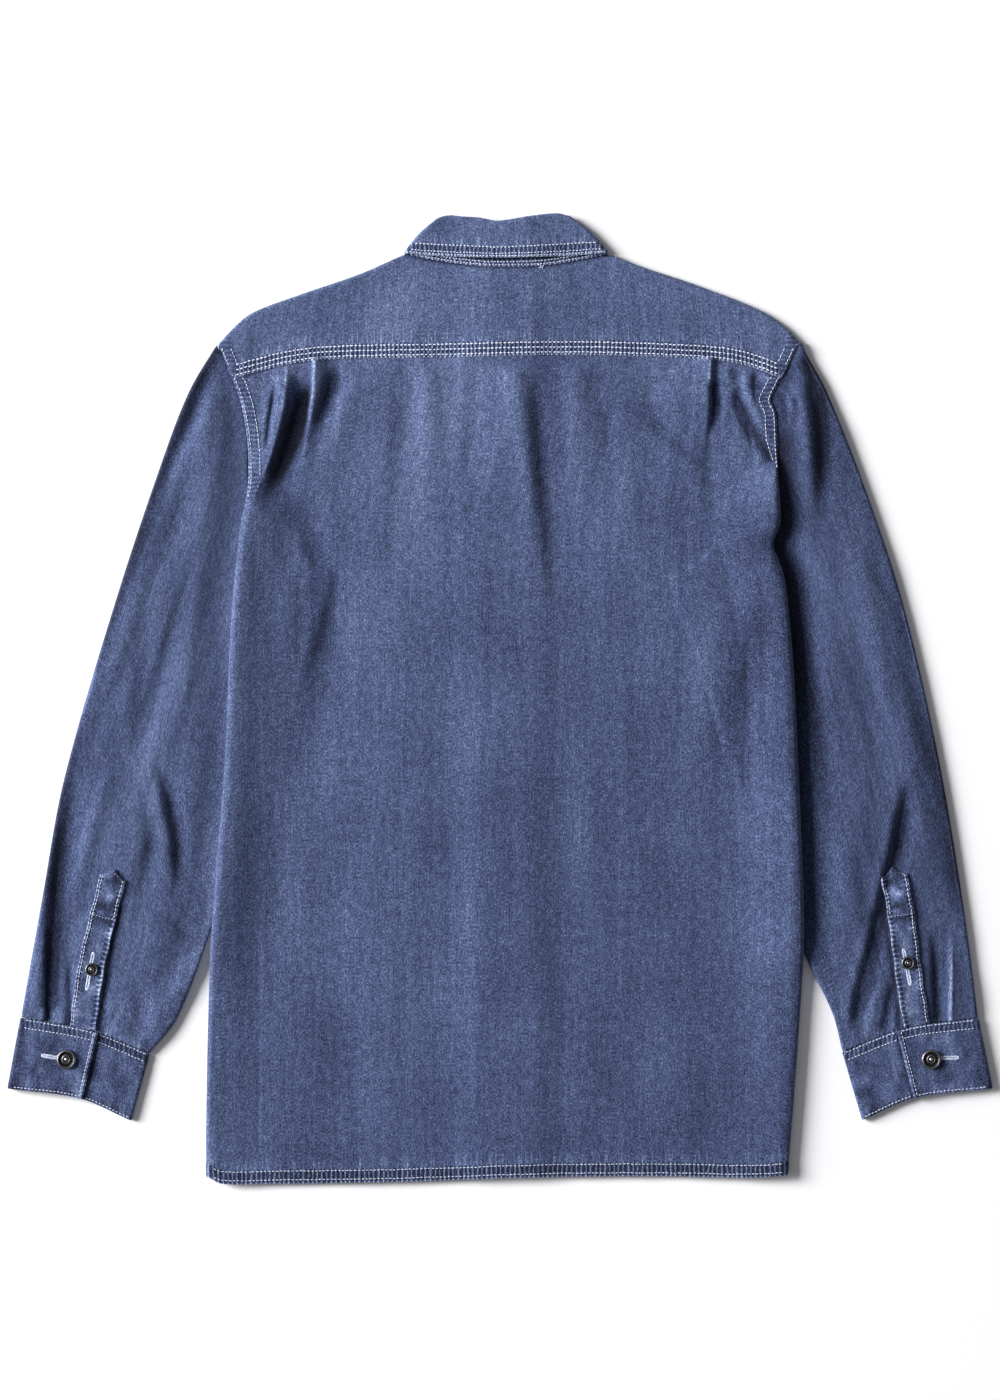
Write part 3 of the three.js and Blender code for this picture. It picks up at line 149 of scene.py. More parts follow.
def folds(table, x, y):
    """Rise of a table's folds at x, y, and their tone: painted shade in troughs, painted highlight
    along crests, with some worn dye.
    """
    rise, pale = np.zeros(x.shape), np.zeros(x.shape)
    for x1, y1, xm, ym, x2, y2, height, west, east, head, tail, tone in table:
        t = np.linspace(0, 1, 13)
        px = mix(mix(x1, 2 * xm - (x1 + x2) / 2, t), mix(2 * xm - (x1 + x2) / 2, x2, t), t)
        py = mix(mix(y1, 2 * ym - (y1 + y2) / 2, t), mix(2 * ym - (y1 + y2) / 2, y2, t), t)
        far = 3 * max(west, east)
        near = (x > px.min() - far) & (x < px.max() + far)
        near &= (y > py.min() - far) & (y < py.max() + far)
        qx, qy = x[near], y[near]
        best, along, side = np.full(qx.shape, 1e9), np.zeros(qx.shape), np.zeros(qx.shape)
        for k in range(12):
            dx, dy = px[k + 1] - px[k], py[k + 1] - py[k]
            s = np.clip(((qx - px[k]) * dx + (qy - py[k]) * dy) / (dx * dx + dy * dy), 0, 1)
            ex, ey = qx - px[k] - s * dx, qy - py[k] - s * dy
            d = np.hypot(ex, ey)
            closer = d < best
            best = np.where(closer, d, best)
            along = np.where(closer, (k + s) / 12, along)
            side = np.where(closer, ex, side)
        form = ridge(best, 0, np.where(side > 0, east, west))
        form *= smooth(along / head) * smooth((1 - along) / tail)
        rise[near] += height * form
        pale[near] += tone * form
    return rise, pale


# Down each side: y, outermost x, radius of the roll, x where the tucked part ends.
LEFT_SIDE = [
    (276, -227.6, 0.8, -223.8),
    (251, -219.2, 0.8, -215.4),
    (217, -213.8, 0.8, -210),
    (196, -213, 0.9, -209),
    (180, -213.6, 2.2, -209),
    (165, -216, 4, -208.5),
    (150, -219.5, 4.5, -204),
    (122, -222.5, 4.5, -180),
    (105, -224.5, 4.5, -151),
    (68, -227.8, 4.5, -154.5),
    (-51, -233, 4.5, -169),
    (-153, -241, 4.4, -181.4),
    (-204, -244.8, 4, -187.6),
    (-255, -246.8, 3.4, -193.8),
    (-323, -248.4, 3.2, -202),
    (-402, -248.8, 3, -211.5),
    (-414, -245.6, 3, -213),
]
RIGHT_SIDE = [
    (276, 239.2, 0.8, 235.4),
    (265, 234, 0.8, 230.2),
    (256, 230, 0.8, 226.2),
    (250, 231, 0.8, 227.2),
    (244, 234, 0.8, 230.2),
    (227, 235, 0.8, 231.2),
    (208, 235, 1.2, 230.6),
    (190, 235.6, 3.2, 229),
    (170, 236.9, 5, 226),
    (150, 237.2, 5.2, 213),
    (132, 231.2, 5, 197),
    (119, 235.8, 5.3, 181),
    (105, 240.5, 5.5, 153),
    (76, 244.4, 5.5, 156),
    (17, 249.2, 5.5, 163),
    (-102, 254.6, 5.4, 176.5),
    (-170, 257.2, 5.2, 184),
    (-208, 257.3, 5, 188.5),
    (-255, 255, 4.4, 194),
    (-340, 249, 4.2, 203.5),
    (-413, 243, 4, 212),
]
SEAM_LEVEL, BACK_LEVEL, SHOULDER_LEVEL = 4.4, 4.6, 5.2  # middles of the wall
STRIP_RISE = 2.4  # how far the buttoned strip under it raises the back
ARMHOLE_TURN = 165  # y below which the armhole's edge turns under
LEFT_INNER = [(-151.4, 105), (-196, -40), (-244.8, -191), (-274.6, -270), (-298.4, -300)]
RIGHT_INNER = [(153.4, 105), (206, -50), (258.4, -213), (283, -266), (291.5, -298.4)]


ARMHOLE_BAND = 10.5
ARMHOLE_STITCHES = (2.2, 9.2)  # in from its edge


def level_line(points):
    """y over x of a line that runs across the shirt."""
    return spline([p[0] for p in points], [p[1] for p in points])


def upright_line(points):
    """x over y of a line that runs down it."""
    return spline([p[1] for p in points[::-1]], [p[0] for p in points[::-1]])


def above_turn(y):
    return smooth((y - ARMHOLE_TURN) / 35)


class Side:
    """One side of the body: its sleeve's inner edge and its own edge, roll and tucked part."""

    def __init__(self, rows, inner, sign):
        y, edge, radius, under = np.array(rows[::-1]).T
        self.sign = sign
        self.edge, self.radius, self.under = (spline(y, c) for c in (edge, radius, under))
        self.sleeve_inner = upright_line(inner)

    def tucked(self, x, y):
        beyond = (self.sleeve_inner(y) - x) * self.sign - 6
        on_sleeve = FLOOR + 3.6 * smooth(1 - beyond / 14)
        return mix(on_sleeve, SEAM_LEVEL, above_turn(y))

    def band(self, y):
        """Width of the armhole's felled band, which turns under lower down."""
        low, length = (188, 40) if self.sign > 0 else (158, 24)
        return ARMHOLE_BAND * np.maximum(smooth((y - low) / length), 0.02)

    def edge_top(self, y):
        radius = self.radius(y)
        return self.tucked(self.edge(y) - self.sign * radius, y) + 2 * radius


left, right = Side(LEFT_SIDE, LEFT_INNER, -1), Side(RIGHT_SIDE, RIGHT_INNER, 1)

CENTRE_FRONT, BUTTON_LIFT, GAP = 6, 2.7, 0.3
NECK_LEFT, NECK_RIGHT = (-80.8, 378), (95.5, 377.6)
LEFT_SHOULDER = [
    (-239, 301.6),
    (-223, 318.6),
    (-209, 329),
    (-168.3, 344.3),
    (-119, 361.3),
    NECK_LEFT,
]
RIGHT_SHOULDER = [NECK_RIGHT, (117, 368.6), (164, 352.8), (217, 332.2), (239, 318.6), (253.6, 304)]
BACK_NECK = [NECK_LEFT, (-60, 373.4), (-17, 368), (11, 367.4), (40, 368.6), (74, 374.2), NECK_RIGHT]
YOKE_SEAM = [
    (-227.4, 272.6),
    (-181, 284.6),
    (-144.5, 289),
    (-60, 290.8),
    (72, 293),
    (170, 289.6),
    (206, 285),
    (239.2, 273.4),
]
HEM = [
    (-248, -405),
    (-236, -410.7),
    (-200, -410.8),
    (-85, -409),
    (20, -405.4),
    (136, -404.4),
    (215, -405.5),
    (243, -403.4),
]
yoke_seam_y, hem_y = level_line(YOKE_SEAM), level_line(HEM)
left_shoulder_y, right_shoulder_y = level_line(LEFT_SHOULDER), level_line(RIGHT_SHOULDER)

# x and y of each fold's head, middle and tail, its height, its widths west and east, the shares
# over which head and tail fade, and its tone: darker tones are painted shade in the troughs, paler
# ones painted highlight along the crests, with some worn dye.
BACK_FOLDS = [
    (-150, 290, -172, 230, -206, 165, 2.0, 34, 34, 0.3, 0.25, 0),
    (-181.5, 287, -189.5, 226, -215, 158, 5.8, 9, 7.5, 0.25, 0.14, -0.2),
    (-181.2, 285, -189.3, 226, -214, 163, 0.8, 0.9, 1.3, 0.05, 0.15, 0.75),
    (-161, 274, -170, 234, -190, 186, -6, 9, 3.4, 0.3, 0.5, -1.75),
    (-167, 256, -180, 212, -208, 156, -6, 10, 11, 0.35, 0.35, -1.4),
    (-170, 284, -174, 250, -186, 205, -1.5, 8, 8, 0.3, 0.4, -0.35),
    (-157.4, 291, -160.2, 246, -171, 186, 4.6, 1.4, 10, 0.02, 0.55, 0.1),
    (-157.2, 289, -159.6, 252, -168, 206, 0.5, 0.8, 1.3, 0.02, 0.7, 0.5),
    (-189.5, 273, -195.6, 236, -199, 206, -3.4, 2.4, 2.2, 0.25, 0.3, -0.9),
    (-134, 284, -150, 250, -166, 190, -4.2, 6, 9, 0.25, 0.5, -0.9),
    (-192, 186, -154, 100, -150, -20, -2.2, 10, 16, 0.3, 0.6, -0.5),
    (-151, 92, -158, 10, -184, -90, -1.5, 12, 18, 0.3, 0.6, -0.4),
    (-174, 158, -169, 126, -172, 88, 1.4, 8, 8, 0.4, 0.4, 0.4),
    (178, 104, 176, 30, 160, -60, 1.2, 12, 12, 0.3, 0.5, 0.3),
    (-182, 130, -180, 70, -182, 0, 1.4, 9, 9, 0.3, 0.6, 0.12),
    (-112, 284, -137, 236, -152, 166, 2.0, 9, 14, 0.3, 0.6, 0.08),
    (178.8, 291, 177.6, 262, 172, 196, 4.4, 13, 1.5, 0.03, 0.7, 0.08),
    (179.2, 289, 177.8, 276, 176.8, 264, 0.3, 1.1, 0.9, 0.04, 0.3, 0.6),
    (178.6, 272, 182, 250, 177.6, 222, -6, 2.4, 5.4, 0.2, 0.5, -1.0),
    (177, 228, 178, 190, 182, 150, -2.2, 8, 8, 0.3, 0.6, -0.2),
    (200, 268, 211, 236, 235, 196, -5, 4.6, 4.6, 0.35, 0.1, -1.1),
    (207, 285, 216, 250, 239, 204, 3.6, 5, 5, 0.3, 0.12, 0.1),
    (193, 286, 195, 270, 206, 240, 2.2, 8, 6, 0.2, 0.6, 0.0),
    (217, 280, 219.6, 262, 221, 248, -3.4, 3.4, 3, 0.25, 0.3, -0.7),
    (242, 131, 226, 134, 208, 140, -4, 7, 7, 0.1, 0.8, -0.3),
    (214, 180, 222, 60, 226, -150, 2, 26, 26, 0.3, 0.6, -0.34),
    (-196, 120, -190, 0, -200, -190, 1.8, 22, 24, 0.4, 0.6, 0),
    (28, 288, 33, 190, 47, 56, -2.8, 2.2, 9, 0.3, 0.35, -0.5),
    (12, 290, 22, 200, 32, 90, 2.2, 10, 6, 0.1, 0.6, 0.22),
    (62, 288, 66, 230, 76, 120, 1.6, 8, 12, 0.15, 0.6, 0.04),
    (-6, 290, -14, 250, -18, 150, 0.6, 60, 34, 0.2, 0.6, 0.2),
    (-95, 352, -78, 330, -60, 300, 0.5, 36, 40, 0.3, 0.3, 0.18),
    (-84, 288, -84, 210, -92, 80, -1.8, 9, 14, 0.15, 0.6, -0.12),
    (-60, 288, -62, 230, -66, 130, 1.4, 9, 11, 0.15, 0.6, 0.05),
    (-20, 288, -24, 220, -26, 90, -1.3, 8, 10, 0.15, 0.6, -0.06),
    (90, 288, 92, 240, 96, 150, -1.6, 8, 10, 0.15, 0.6, -0.1),
    (-148, 150, -151, 60, -146, -90, -1.3, 12, 18, 0.4, 0.6, -0.06),
    (128, 286, 124, 210, 126, 110, -1.4, 12, 14, 0.2, 0.6, -0.08),
    (104, 262, 146, 222, 186, 190, -1.6, 5, 8, 0.3, 0.5, -0.25),
    (196, 240, 206, 210, 214, 160, 1.6, 11, 9, 0.3, 0.5, 0.16),
    (230, 104, 207, 20, 172, -92, -2.2, 12, 18, 0.3, 0.6, -0.36),
    (148, 288, 146, 230, 140, 150, 1.5, 9, 12, 0.2, 0.6, 0.05),
    (146, 284, 152, 200, 150, 90, 0, 44, 50, 0.25, 0.5, -0.13),
    (-60, 60, -74, -120, -66, -330, 1.0, 26, 30, 0.4, 0.6, 0),
    (120, 20, 132, -140, 122, -330, -1.0, 26, 30, 0.4, 0.6, 0),
    (-206, 40, -212, -120, -214, -330, -1.2, 9, 14, 0.4, 0.5, -0.1),
    (-206, -180, -205, -290, -206, -404, -0.5, 14, 2.2, 0.3, 0.05, -0.12),
    (176, 120, 190, 40, 196, -70, -1.6, 12, 16, 0.4, 0.6, -0.08),
    (-214, 140, -206, 100, -204, 30, -1.8, 7, 9, 0.3, 0.6, -0.2),
    (60, -120, 40, -220, 52, -380, 1.0, 20, 20, 0.4, 0.4, 0),
    (-140, -100, -150, -240, -136, -390, -0.9, 22, 22, 0.4, 0.4, -0.03),
]


def strip_lift(x):
    return smooth(1 - (np.abs(x - CENTRE_FRONT) - 18) / 32)


def front_level(x, y, over):
    """Middle height of a front: over is 1 for the front that lies over the other, else 0."""
    neck = 2 * smooth((y - 232) / 30) * smooth(1 - (np.abs(x - CENTRE_FRONT) - 98) / 30)
    return FLOOR + np.maximum((BUTTON_LIFT + over * (CLOTH + GAP)) * strip_lift(x), neck)


def below_shoulder(x, y):
    over = np.where(x < NECK_LEFT[0], left_shoulder_y(x) - y, 1e9)
    return np.where(x > NECK_RIGHT[0], right_shoulder_y(x) - y, over)


def body_level(x, y):
    """Middle height of the back and yoke, and their tone: the dye's paleness with painted shade and
    painted light.
    """
    x, y = np.asarray(x, float), np.asarray(y, float)
    rise, pale = folds(BACK_FOLDS, x, y)
    upper = smooth((y - 60) / 160)
    swell = mix(0.7, 1.0, upper) * unevenness(x, y, 42, 120, 3)
    swell += mix(0.35, 0.85, upper) * unevenness(x + 0.12 * y, y, 19, 75, 4)
    fan = smooth(1 - np.abs(yoke_seam_y(x) - y - 6) / 16)
    pucker = 0.5 * fan * unevenness(x, y, 5.5, 26, 5)
    hem = 0.35 * smooth(1 - (y - hem_y(x)) / 16) * unevenness(x, y, 6, 24, 6)
    flat = smooth((y - yoke_seam_y(x) + 2) / 8)  # the yoke lies flatter than the back
    z = BACK_LEVEL + STRIP_RISE * strip_lift(x)
    z = z + rise + swell * mix(1, 0.6, flat) + pucker + hem
    # Lighter towards the top and left and darker towards the bottom and right: painted light
    # falling off from the lamps on the left. The patches added to it are the dye's own.
    pale = pale + 0.0004 * y - 0.0003 * x - 0.05 + 0.14 * unevenness(x, y, 34, 90, 11)
    for side in (left, right):
        inside = (side.edge(y) - x) * side.sign
        share = 1 - smooth(inside / mix(58, 26, above_turn(y)))
        edge = side.edge_top(y) + 0.08 * side.radius(y) * (rise + swell)
        z = mix(z, edge, share)
        # Painted shade darkens the roll of the right side, which turns from the lamps, and painted
        # light brightens the roll of the left side.
        shade = 0.45 if side is right else -0.2
        pale = pale - shade * smooth(1 - inside / 13) * smooth((172 - y) / 16)
        past = (side.under(y) - x) * side.sign
        z = np.maximum(z, (side.tucked(x, y) + 1.6) * smooth(1 - (past - 8) / 20))
    z = mix(SHOULDER_LEVEL, z, smooth(below_shoulder(x, y) / 24))
    return np.maximum(z, front_level(x, y, 1) + 1.5), np.maximum(pale, -1.35)


class Seams:
    """The felled or turned bands along a piece's edges: how far in a point lies, in band widths,
    and how far it is along, for the nearest band."""

    def __init__(self):
        self.bands = []

    def band(self, distance, run, width, strength=1.0):
        self.bands.append((distance, run, width, strength))

    def at(self, x, y):
        best = np.full(x.shape, 9.0)
        run, strength = np.zeros(x.shape), np.zeros(x.shape)
        for distance, along, width, force in self.bands:
            off = np.abs(distance(x, y)) / width
            closer = off < best
            best = np.where(closer, off, best)
            run = np.where(closer, along(x, y), run)
            strength = np.where(closer, force, strength)
        return np.stack([best, run, strength], axis=-1)


YOKE_FELL, HEM_BAND = 12.4, 11.5
body_seams = Seams()
body_seams.band(
    lambda x, y: np.where(y > yoke_seam_y(x) - 1, y - yoke_seam_y(x), 99),
    lambda x, y: x,
    YOKE_FELL,
)
for side in (left, right):
    body_seams.band(
        lambda x, y, side=side: np.where(
            y > 160, (side.edge(y) - x) * side.sign * ARMHOLE_BAND / side.band(y), 99
        ),
        lambda x, y: y,
        ARMHOLE_BAND,
        0.45,
    )
body_seams.band(lambda x, y: y - hem_y(x), lambda x, y: x, HEM_BAND, 0.95)
neck_y = level_line(BACK_NECK)
body_seams.band(
    lambda x, y: np.where((x > NECK_LEFT[0]) & (x < NECK_RIGHT[0]), neck_y(x) - y, 99),
    lambda x, y: x,
    2.0,
    0.5,
)


def felled(x, y):
    """Extra thickness of the armhole bands."""
    extra = np.zeros(x.shape)
    for side in (left, right):
        off = (side.edge(y) - x) * side.sign * ARMHOLE_BAND / side.band(y)
        band = smooth((10.8 - off) / 1.4) * smooth((y - ARMHOLE_TURN) / 12)
        dip = sum(ridge(off, rise, 1.0) for rise in ARMHOLE_STITCHES)
        extra = np.maximum(extra, (0.9 - 0.35 * dip) * band)
    return extra


def put_in(name, points, faces, colour):
    """A smooth mesh of points in millimetres, put in the scene."""
    mesh = bpy.data.meshes.new(name)
    mesh.from_pydata((points * 0.001).tolist(), [], faces)
    mesh.polygons.foreach_set("use_smooth", [True] * len(mesh.polygons))
    mesh.materials.append(colour)
    made = bpy.data.objects.new(name, mesh)
    bpy.context.scene.collection.objects.link(made)
    return made


def cloth(name, grid, thick, seam, pale, colour, looped=False, keep=None):
    """A closed wall of cloth about a grid of middle points, half as thick along open edges,
    with its material's measures: grain along and across it, its seams, and its tone, the dye's
    paleness with painted shade and painted light."""
    rows, cols = grid.shape[:2]
    wide = cols if looped else cols - 1
    cells = np.ones((rows - 1, wide), bool) if keep is None else keep
    ring = np.zeros((rows + 1, wide + 2), bool)
    ring[1:-1, 1:-1] = cells
    if looped:
        ring[1:-1, 0], ring[1:-1, -1] = cells[:, -1], cells[:, 0]
    after = ring[1:, 1 : cols + 1] | ring[1:, :cols]
    before = ring[:-1, 1 : cols + 1] | ring[:-1, :cols]
    i, j = np.mgrid[:rows, :cols]
    along = grid[np.where(after, i + 1, i), j] - grid[np.where(before, i - 1, i), j]
    if looped:
        across = np.roll(grid, -1, 1) - np.roll(grid, 1, 1)
    else:
        across = np.gradient(grid, axis=1)
    normal = np.cross(across, along)
    normal /= np.maximum(np.linalg.norm(normal, axis=-1, keepdims=True), 1e-9)
    whole = ring[1:, 1 : cols + 1] & ring[1:, :cols] & ring[:-1, 1 : cols + 1] & ring[:-1, :cols]
    half = np.where(whole, 1.0, 0.5) * thick / 2
    points = np.concatenate(
        [(grid + s * half[..., None] * normal).reshape(-1, 3) for s in (1, -1)]
    )
    step = np.linalg.norm(np.diff(grid, axis=1), axis=-1)
    u = np.concatenate([np.zeros((rows, 1)), np.cumsum(step, axis=1)], axis=1)
    u -= u[:, cols // 2][:, None]
    step = np.linalg.norm(np.diff(grid, axis=0), axis=-1)
    v = np.concatenate([np.zeros((1, cols)), np.cumsum(step, axis=0)], axis=0)
    grain = np.stack([u, -v, np.zeros(u.shape)], axis=-1).reshape(-1, 3)

    ci, cj = np.nonzero(cells)
    cn = (cj + 1) % cols
    a, b, c, d = ci * cols + cj, ci * cols + cn, (ci + 1) * cols + cn, (ci + 1) * cols + cj
    n = rows * cols
    quads = [np.stack(q, 1) for q in ((a, b, c, d), (a + n, d + n, c + n, b + n))]
    inner = ring[1:-1, 1:-1]
    for open_side, q in (
        (inner & ~ring[:-2, 1:-1], (a, a + n, b + n, b)),
        (inner & ~ring[2:, 1:-1], (d, c, c + n, d + n)),
        (inner & ~ring[1:-1, :-2], (a, d, d + n, a + n)),
        (inner & ~ring[1:-1, 2:], (b, b + n, c + n, c)),
    ):
        quads.append(np.stack(q, 1)[open_side[ci, cj]])
    quads = np.concatenate(quads)
    p = points[quads]
    volume = (
        np.einsum("ij,ij->", p[:, 0], np.cross(p[:, 1], p[:, 2]))
        + np.einsum("ij,ij->", p[:, 0], np.cross(p[:, 2], p[:, 3]))
    )
    if volume < 0:
        quads = quads[:, ::-1]
    used, quads = np.unique(quads, return_inverse=True)
    quads = quads.reshape(-1, 4)
    piece = put_in(name, points[used], quads.tolist(), colour)
    mesh = piece.data
    for label, kind, values in (
        ("grain", "FLOAT_VECTOR", grain),
        ("seam", "FLOAT_VECTOR", seam.reshape(-1, 3)),
        ("pale", "FLOAT", pale.reshape(-1, 1)),
    ):
        both = np.concatenate([values, values])[used]
        layer = mesh.attributes.new(label, kind, "POINT")
        layer.data.foreach_set("vector" if kind == "FLOAT_VECTOR" else "value", both.ravel())
    mesh.set_sharp_from_angle(angle=math.radians(58))
    return piece


class Wire:
    """A socket in a material. Sums on it add Math nodes, and node() adds any other node."""

    def __init__(self, tree, socket=None):
        self.tree, self.socket = tree, socket

    def other(self, k):
        """Another output of the node that this wire comes from."""
        return Wire(self.tree, self.socket.node.outputs[k])

    def node(self, kind, settings=None, sockets=None, out=0):
        made = self.tree.nodes.new("ShaderNode" + kind)
        for key, value in (settings or {}).items():
            if key == "stops":
                stops = made.color_ramp.elements
                while len(stops) < len(value):
                    stops.new(0.5)
                for stop, (place, rgb) in zip(stops, value):
                    stop.position, stop.color = place, (*rgb, 1.0)
            else:
                setattr(made, key, value)
        for key, value in (sockets or {}).items():
            if isinstance(value, Wire):
                self.tree.links.new(value.socket, made.inputs[key])
            else:
                made.inputs[key].default_value = value
        return Wire(self.tree, made.outputs[out] if made.outputs else None)

    def sum(self, operation, a, b):
        return self.node("Math", {"operation": operation}, {0: a, 1: b})

    def __add__(self, other):
        return self.sum("ADD", self, other)

    __radd__ = __add__

    def __mul__(self, other):
        return self.sum("MULTIPLY", self, other)

    __rmul__ = __mul__

    def __sub__(self, other):
        return self.sum("SUBTRACT", self, other)

    def __rsub__(self, other):
        return self.sum("SUBTRACT", other, self)

    def step(self, low, high):
        """0 below low, 1 above high, and smooth between."""
        return self.node(
            "MapRange",
            {"interpolation_type": "SMOOTHSTEP"},
            {"Value": self, "From Min": low, "From Max": high},
        )

    def grained(self, wide, long, seed, detail=0.0, rough=0.5):
        """Noise about 0 over this vector, in patches of that size in millimetres."""
        place = self.node(
            "VectorMath",
            {"operation": "MULTIPLY_ADD"},
            {0: self, 1: (1 / wide, 1 / long, 1.0), 2: (seed * 3.1, seed * 5.7, seed)},
        )
        noise = self.node(
            "TexNoise",
            {"noise_dimensions": "3D"},
            {"Vector": place, "Scale": 1.0, "Detail": detail, "Roughness": rough},
        )
        return noise - 0.5


def material(name):
    """A material with no nodes yet, and the wire to start them from."""
    made = bpy.data.materials.new(name)
    made.use_nodes = True
    made.node_tree.nodes.clear()
    return made, Wire(made.node_tree)


INDIGO = [
    (0.0, (0.0050, 0.0065, 0.0150)),
    (0.25, (0.0210, 0.0290, 0.0720)),
    (0.5, (0.0610, 0.0870, 0.1870)),
    (0.75, (0.1560, 0.2000, 0.3500)),
    (1.0, (0.4300, 0.5000, 0.6600)),
]


def denim(name, tone, seed):
    """Washed denim: heathered blue with vertical slubs, dark and paler blocks along its seams,
    paler folded edges and a fine twill. A per-point tone adds the dye's own paleness together with
    painted shade and painted highlights."""
    made, start = material(name)
    made.diffuse_color = (0.09, 0.12, 0.22, 1)
    grain = start.node("Attribute", {"attribute_name": "grain"}, out="Vector")
    seam = start.node("Attribute", {"attribute_name": "seam"}, out="Vector")
    pale = start.node("Attribute", {"attribute_name": "pale"}, out="Fac")
    off = start.node("SeparateXYZ", sockets={0: seam})
    run, strength = off.other(1), off.other(2)

    heather = grain.grained(1.35, 1.9, seed, 2.0, 0.65)
    blotch = grain.grained(4.5, 8.0, seed + 1, 1.0)
    slub = grain.grained(1.3, 46.0, seed + 2, 1.0)
    streak = grain.grained(9.0, 190.0, seed + 3, 1.0)
    cloud = grain.grained(62.0, 80.0, seed + 4, 1.0)
    along = start.node("CombineXYZ", sockets={0: run, 1: off * 6.0})
    turns = run * (2 * math.pi / 4.0) + 5.0 * along.grained(9.0, 9.0, seed + 5, 1.0)
    rope = turns.node("Math", {"operation": "SINE"}, {0: turns}).step(-0.1, 0.95)
    lick = along.grained(2.2, 16.0, seed + 6).step(0.0, 0.2)

    band = (1.0 - off.step(0.9, 1.12)) * strength
    lip = (1.0 - off.step(0.03, 0.16)) * strength
    fan = off.step(0.95, 1.1) * (1.0 - off.step(1.2, 2.3)) * strength
    shade = (
        0.488
        + tone
        + 1.27 * heather
        + 0.34 * blotch
        + 0.2 * slub
        + 0.17 * streak
        + 0.18 * cloud
        + 0.34 * pale
        + band * (0.5 * rope - 0.3)
        + lip * 0.34
        + fan * lick * 0.18
    )
    colour = start.node("ValToRGB", {"stops": INDIGO}, {"Fac": shade})

    twill_place = grain.node(
        "VectorMath", {"operation": "MULTIPLY"}, {0: grain, 1: (1.0, 0.55, 0.0)}
    )
    twill = start.node(
        "TexWave",
        {"wave_type": "BANDS", "bands_direction": "DIAGONAL"},
        {"Vector": twill_place, "Scale": 0.34, "Distortion": 0.6, "Detail": 1.0},
        out="Fac",
    )
    height = 0.07 * twill + 0.22 * heather + 0.05 * slub + band * rope * 0.3 + fan * lick * 0.2
    bump = start.node("Bump", sockets={"Height": height, "Distance": 0.001, "Strength": 0.8})
    shader = start.node(
        "BsdfPrincipled",
        sockets={
            "Base Color": colour,
            "Roughness": 0.92 - 0.12 * shade,
            "Normal": bump,
            "Specular IOR Level": 0.22,
            "Sheen Weight": 0.12,
            "Sheen Roughness": 0.5,
        },
    )
    start.node("OutputMaterial", sockets={"Surface": shader})
    return made


BACK_ROWS_FINE, BACK_ROWS_OPEN, BACK_ROWS_HEM = 94, 84, 10
HEM_DEPTH = 12
TUCK_COLUMNS, ROLL_COLUMNS = 7, 8  # of points at each side


def back_panel():
    length = YOKE_SEAM[0][1] - HEM[1][1]
    fine, start = 170 / 700, 1 - HEM_DEPTH / length
    rows = spread(
        (0, fine, BACK_ROWS_FINE), (fine, start, BACK_ROWS_OPEN), (start, 1, BACK_ROWS_HEM)
    )
    rows = np.concatenate([[-0.0058, -0.0036, -0.0014], rows])[:, None]

    def row_y(x, v):
        return mix(yoke_seam_y(x) - 0.4, hem_y(x), v)

    def side_y(side):
        return row_y(side.edge(row_y(side.sign * 230.0, rows)), rows)

    def tuck_and_roll(side):
        y = side_y(side)
        radius = side.radius(y)
        start = (side.edge(y) - side.sign * radius) * side.sign
        first = np.minimum(side.under(y) * side.sign, start - 7.5)
        out = mix(first, start, np.linspace(0, 1, TUCK_COLUMNS + 1)[None, :-1])
        low = side.tucked(start * side.sign, y)
        angle = np.linspace(0, np.pi, ROLL_COLUMNS + 1)[None, :-1]
        x = np.concatenate([out, start + radius * np.sin(angle)], axis=1) * side.sign
        y = np.broadcast_to(y, x.shape)
        tuck = side.tucked(out * side.sign, y[:, :TUCK_COLUMNS])
        z = np.concatenate([tuck, low + radius * (1 - np.cos(angle))], axis=1)
        return np.stack([x, y, z], axis=-1)

    yl, yr = side_y(left), side_y(right)
    x0, x1 = left.edge(yl) + left.radius(yl), right.edge(yr) - right.radius(yr)
    left_lip = spline([-420, 0, 160, 206, 262, 300], [-206, -196, -190, -171, -158.6, -157.8])
    right_lip = spline([-420, 0, 196, 262, 300], [196, 184, 172, 177.2, 178.6])
    y_mid = row_y(0.0, rows)
    xp, xq = left_lip(y_mid), right_lip(y_mid)
    near = np.array([-3.2, -2.0, -1.2, -0.6, 0.0, 0.8, 2.0, 3.6])[None, :]
    middle = np.linspace(0, 1, 112)[None, 1:-1]
    middle = mix(middle, 0.5 - 0.5 * np.cos(np.pi * middle), 0.45)
    x = np.concatenate(
        [
            mix(x0, xp - 3.2, np.linspace(0, 1, 48)[None, :-1]),
            xp + near,
            mix(xp + 3.6, xq - 3.6, middle),
            xq - near[:, ::-1],
            mix(xq + 3.2, x1, np.linspace(0, 1, 38)[None, 1:]),
        ],
        axis=1,
    )
    y = row_y(x, rows)
    z, pale = body_level(x, y)
    lap = smooth((yoke_seam_y(x) - 0.4 - y) / 3 + 1)
    z = z - 1.1 * (1 - lap)
    top = np.stack([x, y, z], axis=-1)
    a, b = tuck_and_roll(left), tuck_and_roll(right)
    grid = np.concatenate([a, top, b[:, ::-1]], axis=1)
    hem = smooth((rows - start) / 0.002)
    wave = sum(ridge(rows, mix(start, 1, share), 0.0016) for share in (0.15, 0.75))
    thick = np.broadcast_to(CLOTH + hem * (0.7 - 0.25 * wave), grid.shape[:2]).copy()
    inside = slice(TUCK_COLUMNS + ROLL_COLUMNS, -TUCK_COLUMNS - ROLL_COLUMNS)
    thick[:, inside] += felled(x, y)
    grid[..., 2] += 0.3 * hem
    extra = np.zeros(grid.shape[:2])
    extra[:, inside] = pale
    return grid, thick, extra


grid, thick, pale = back_panel()
seam = body_seams.at(grid[..., 0], grid[..., 1])
back = cloth("back_cloth", grid, thick, seam, pale, colour=denim("denim_back", 0.0, 11))
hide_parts("back")
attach(back, "root")


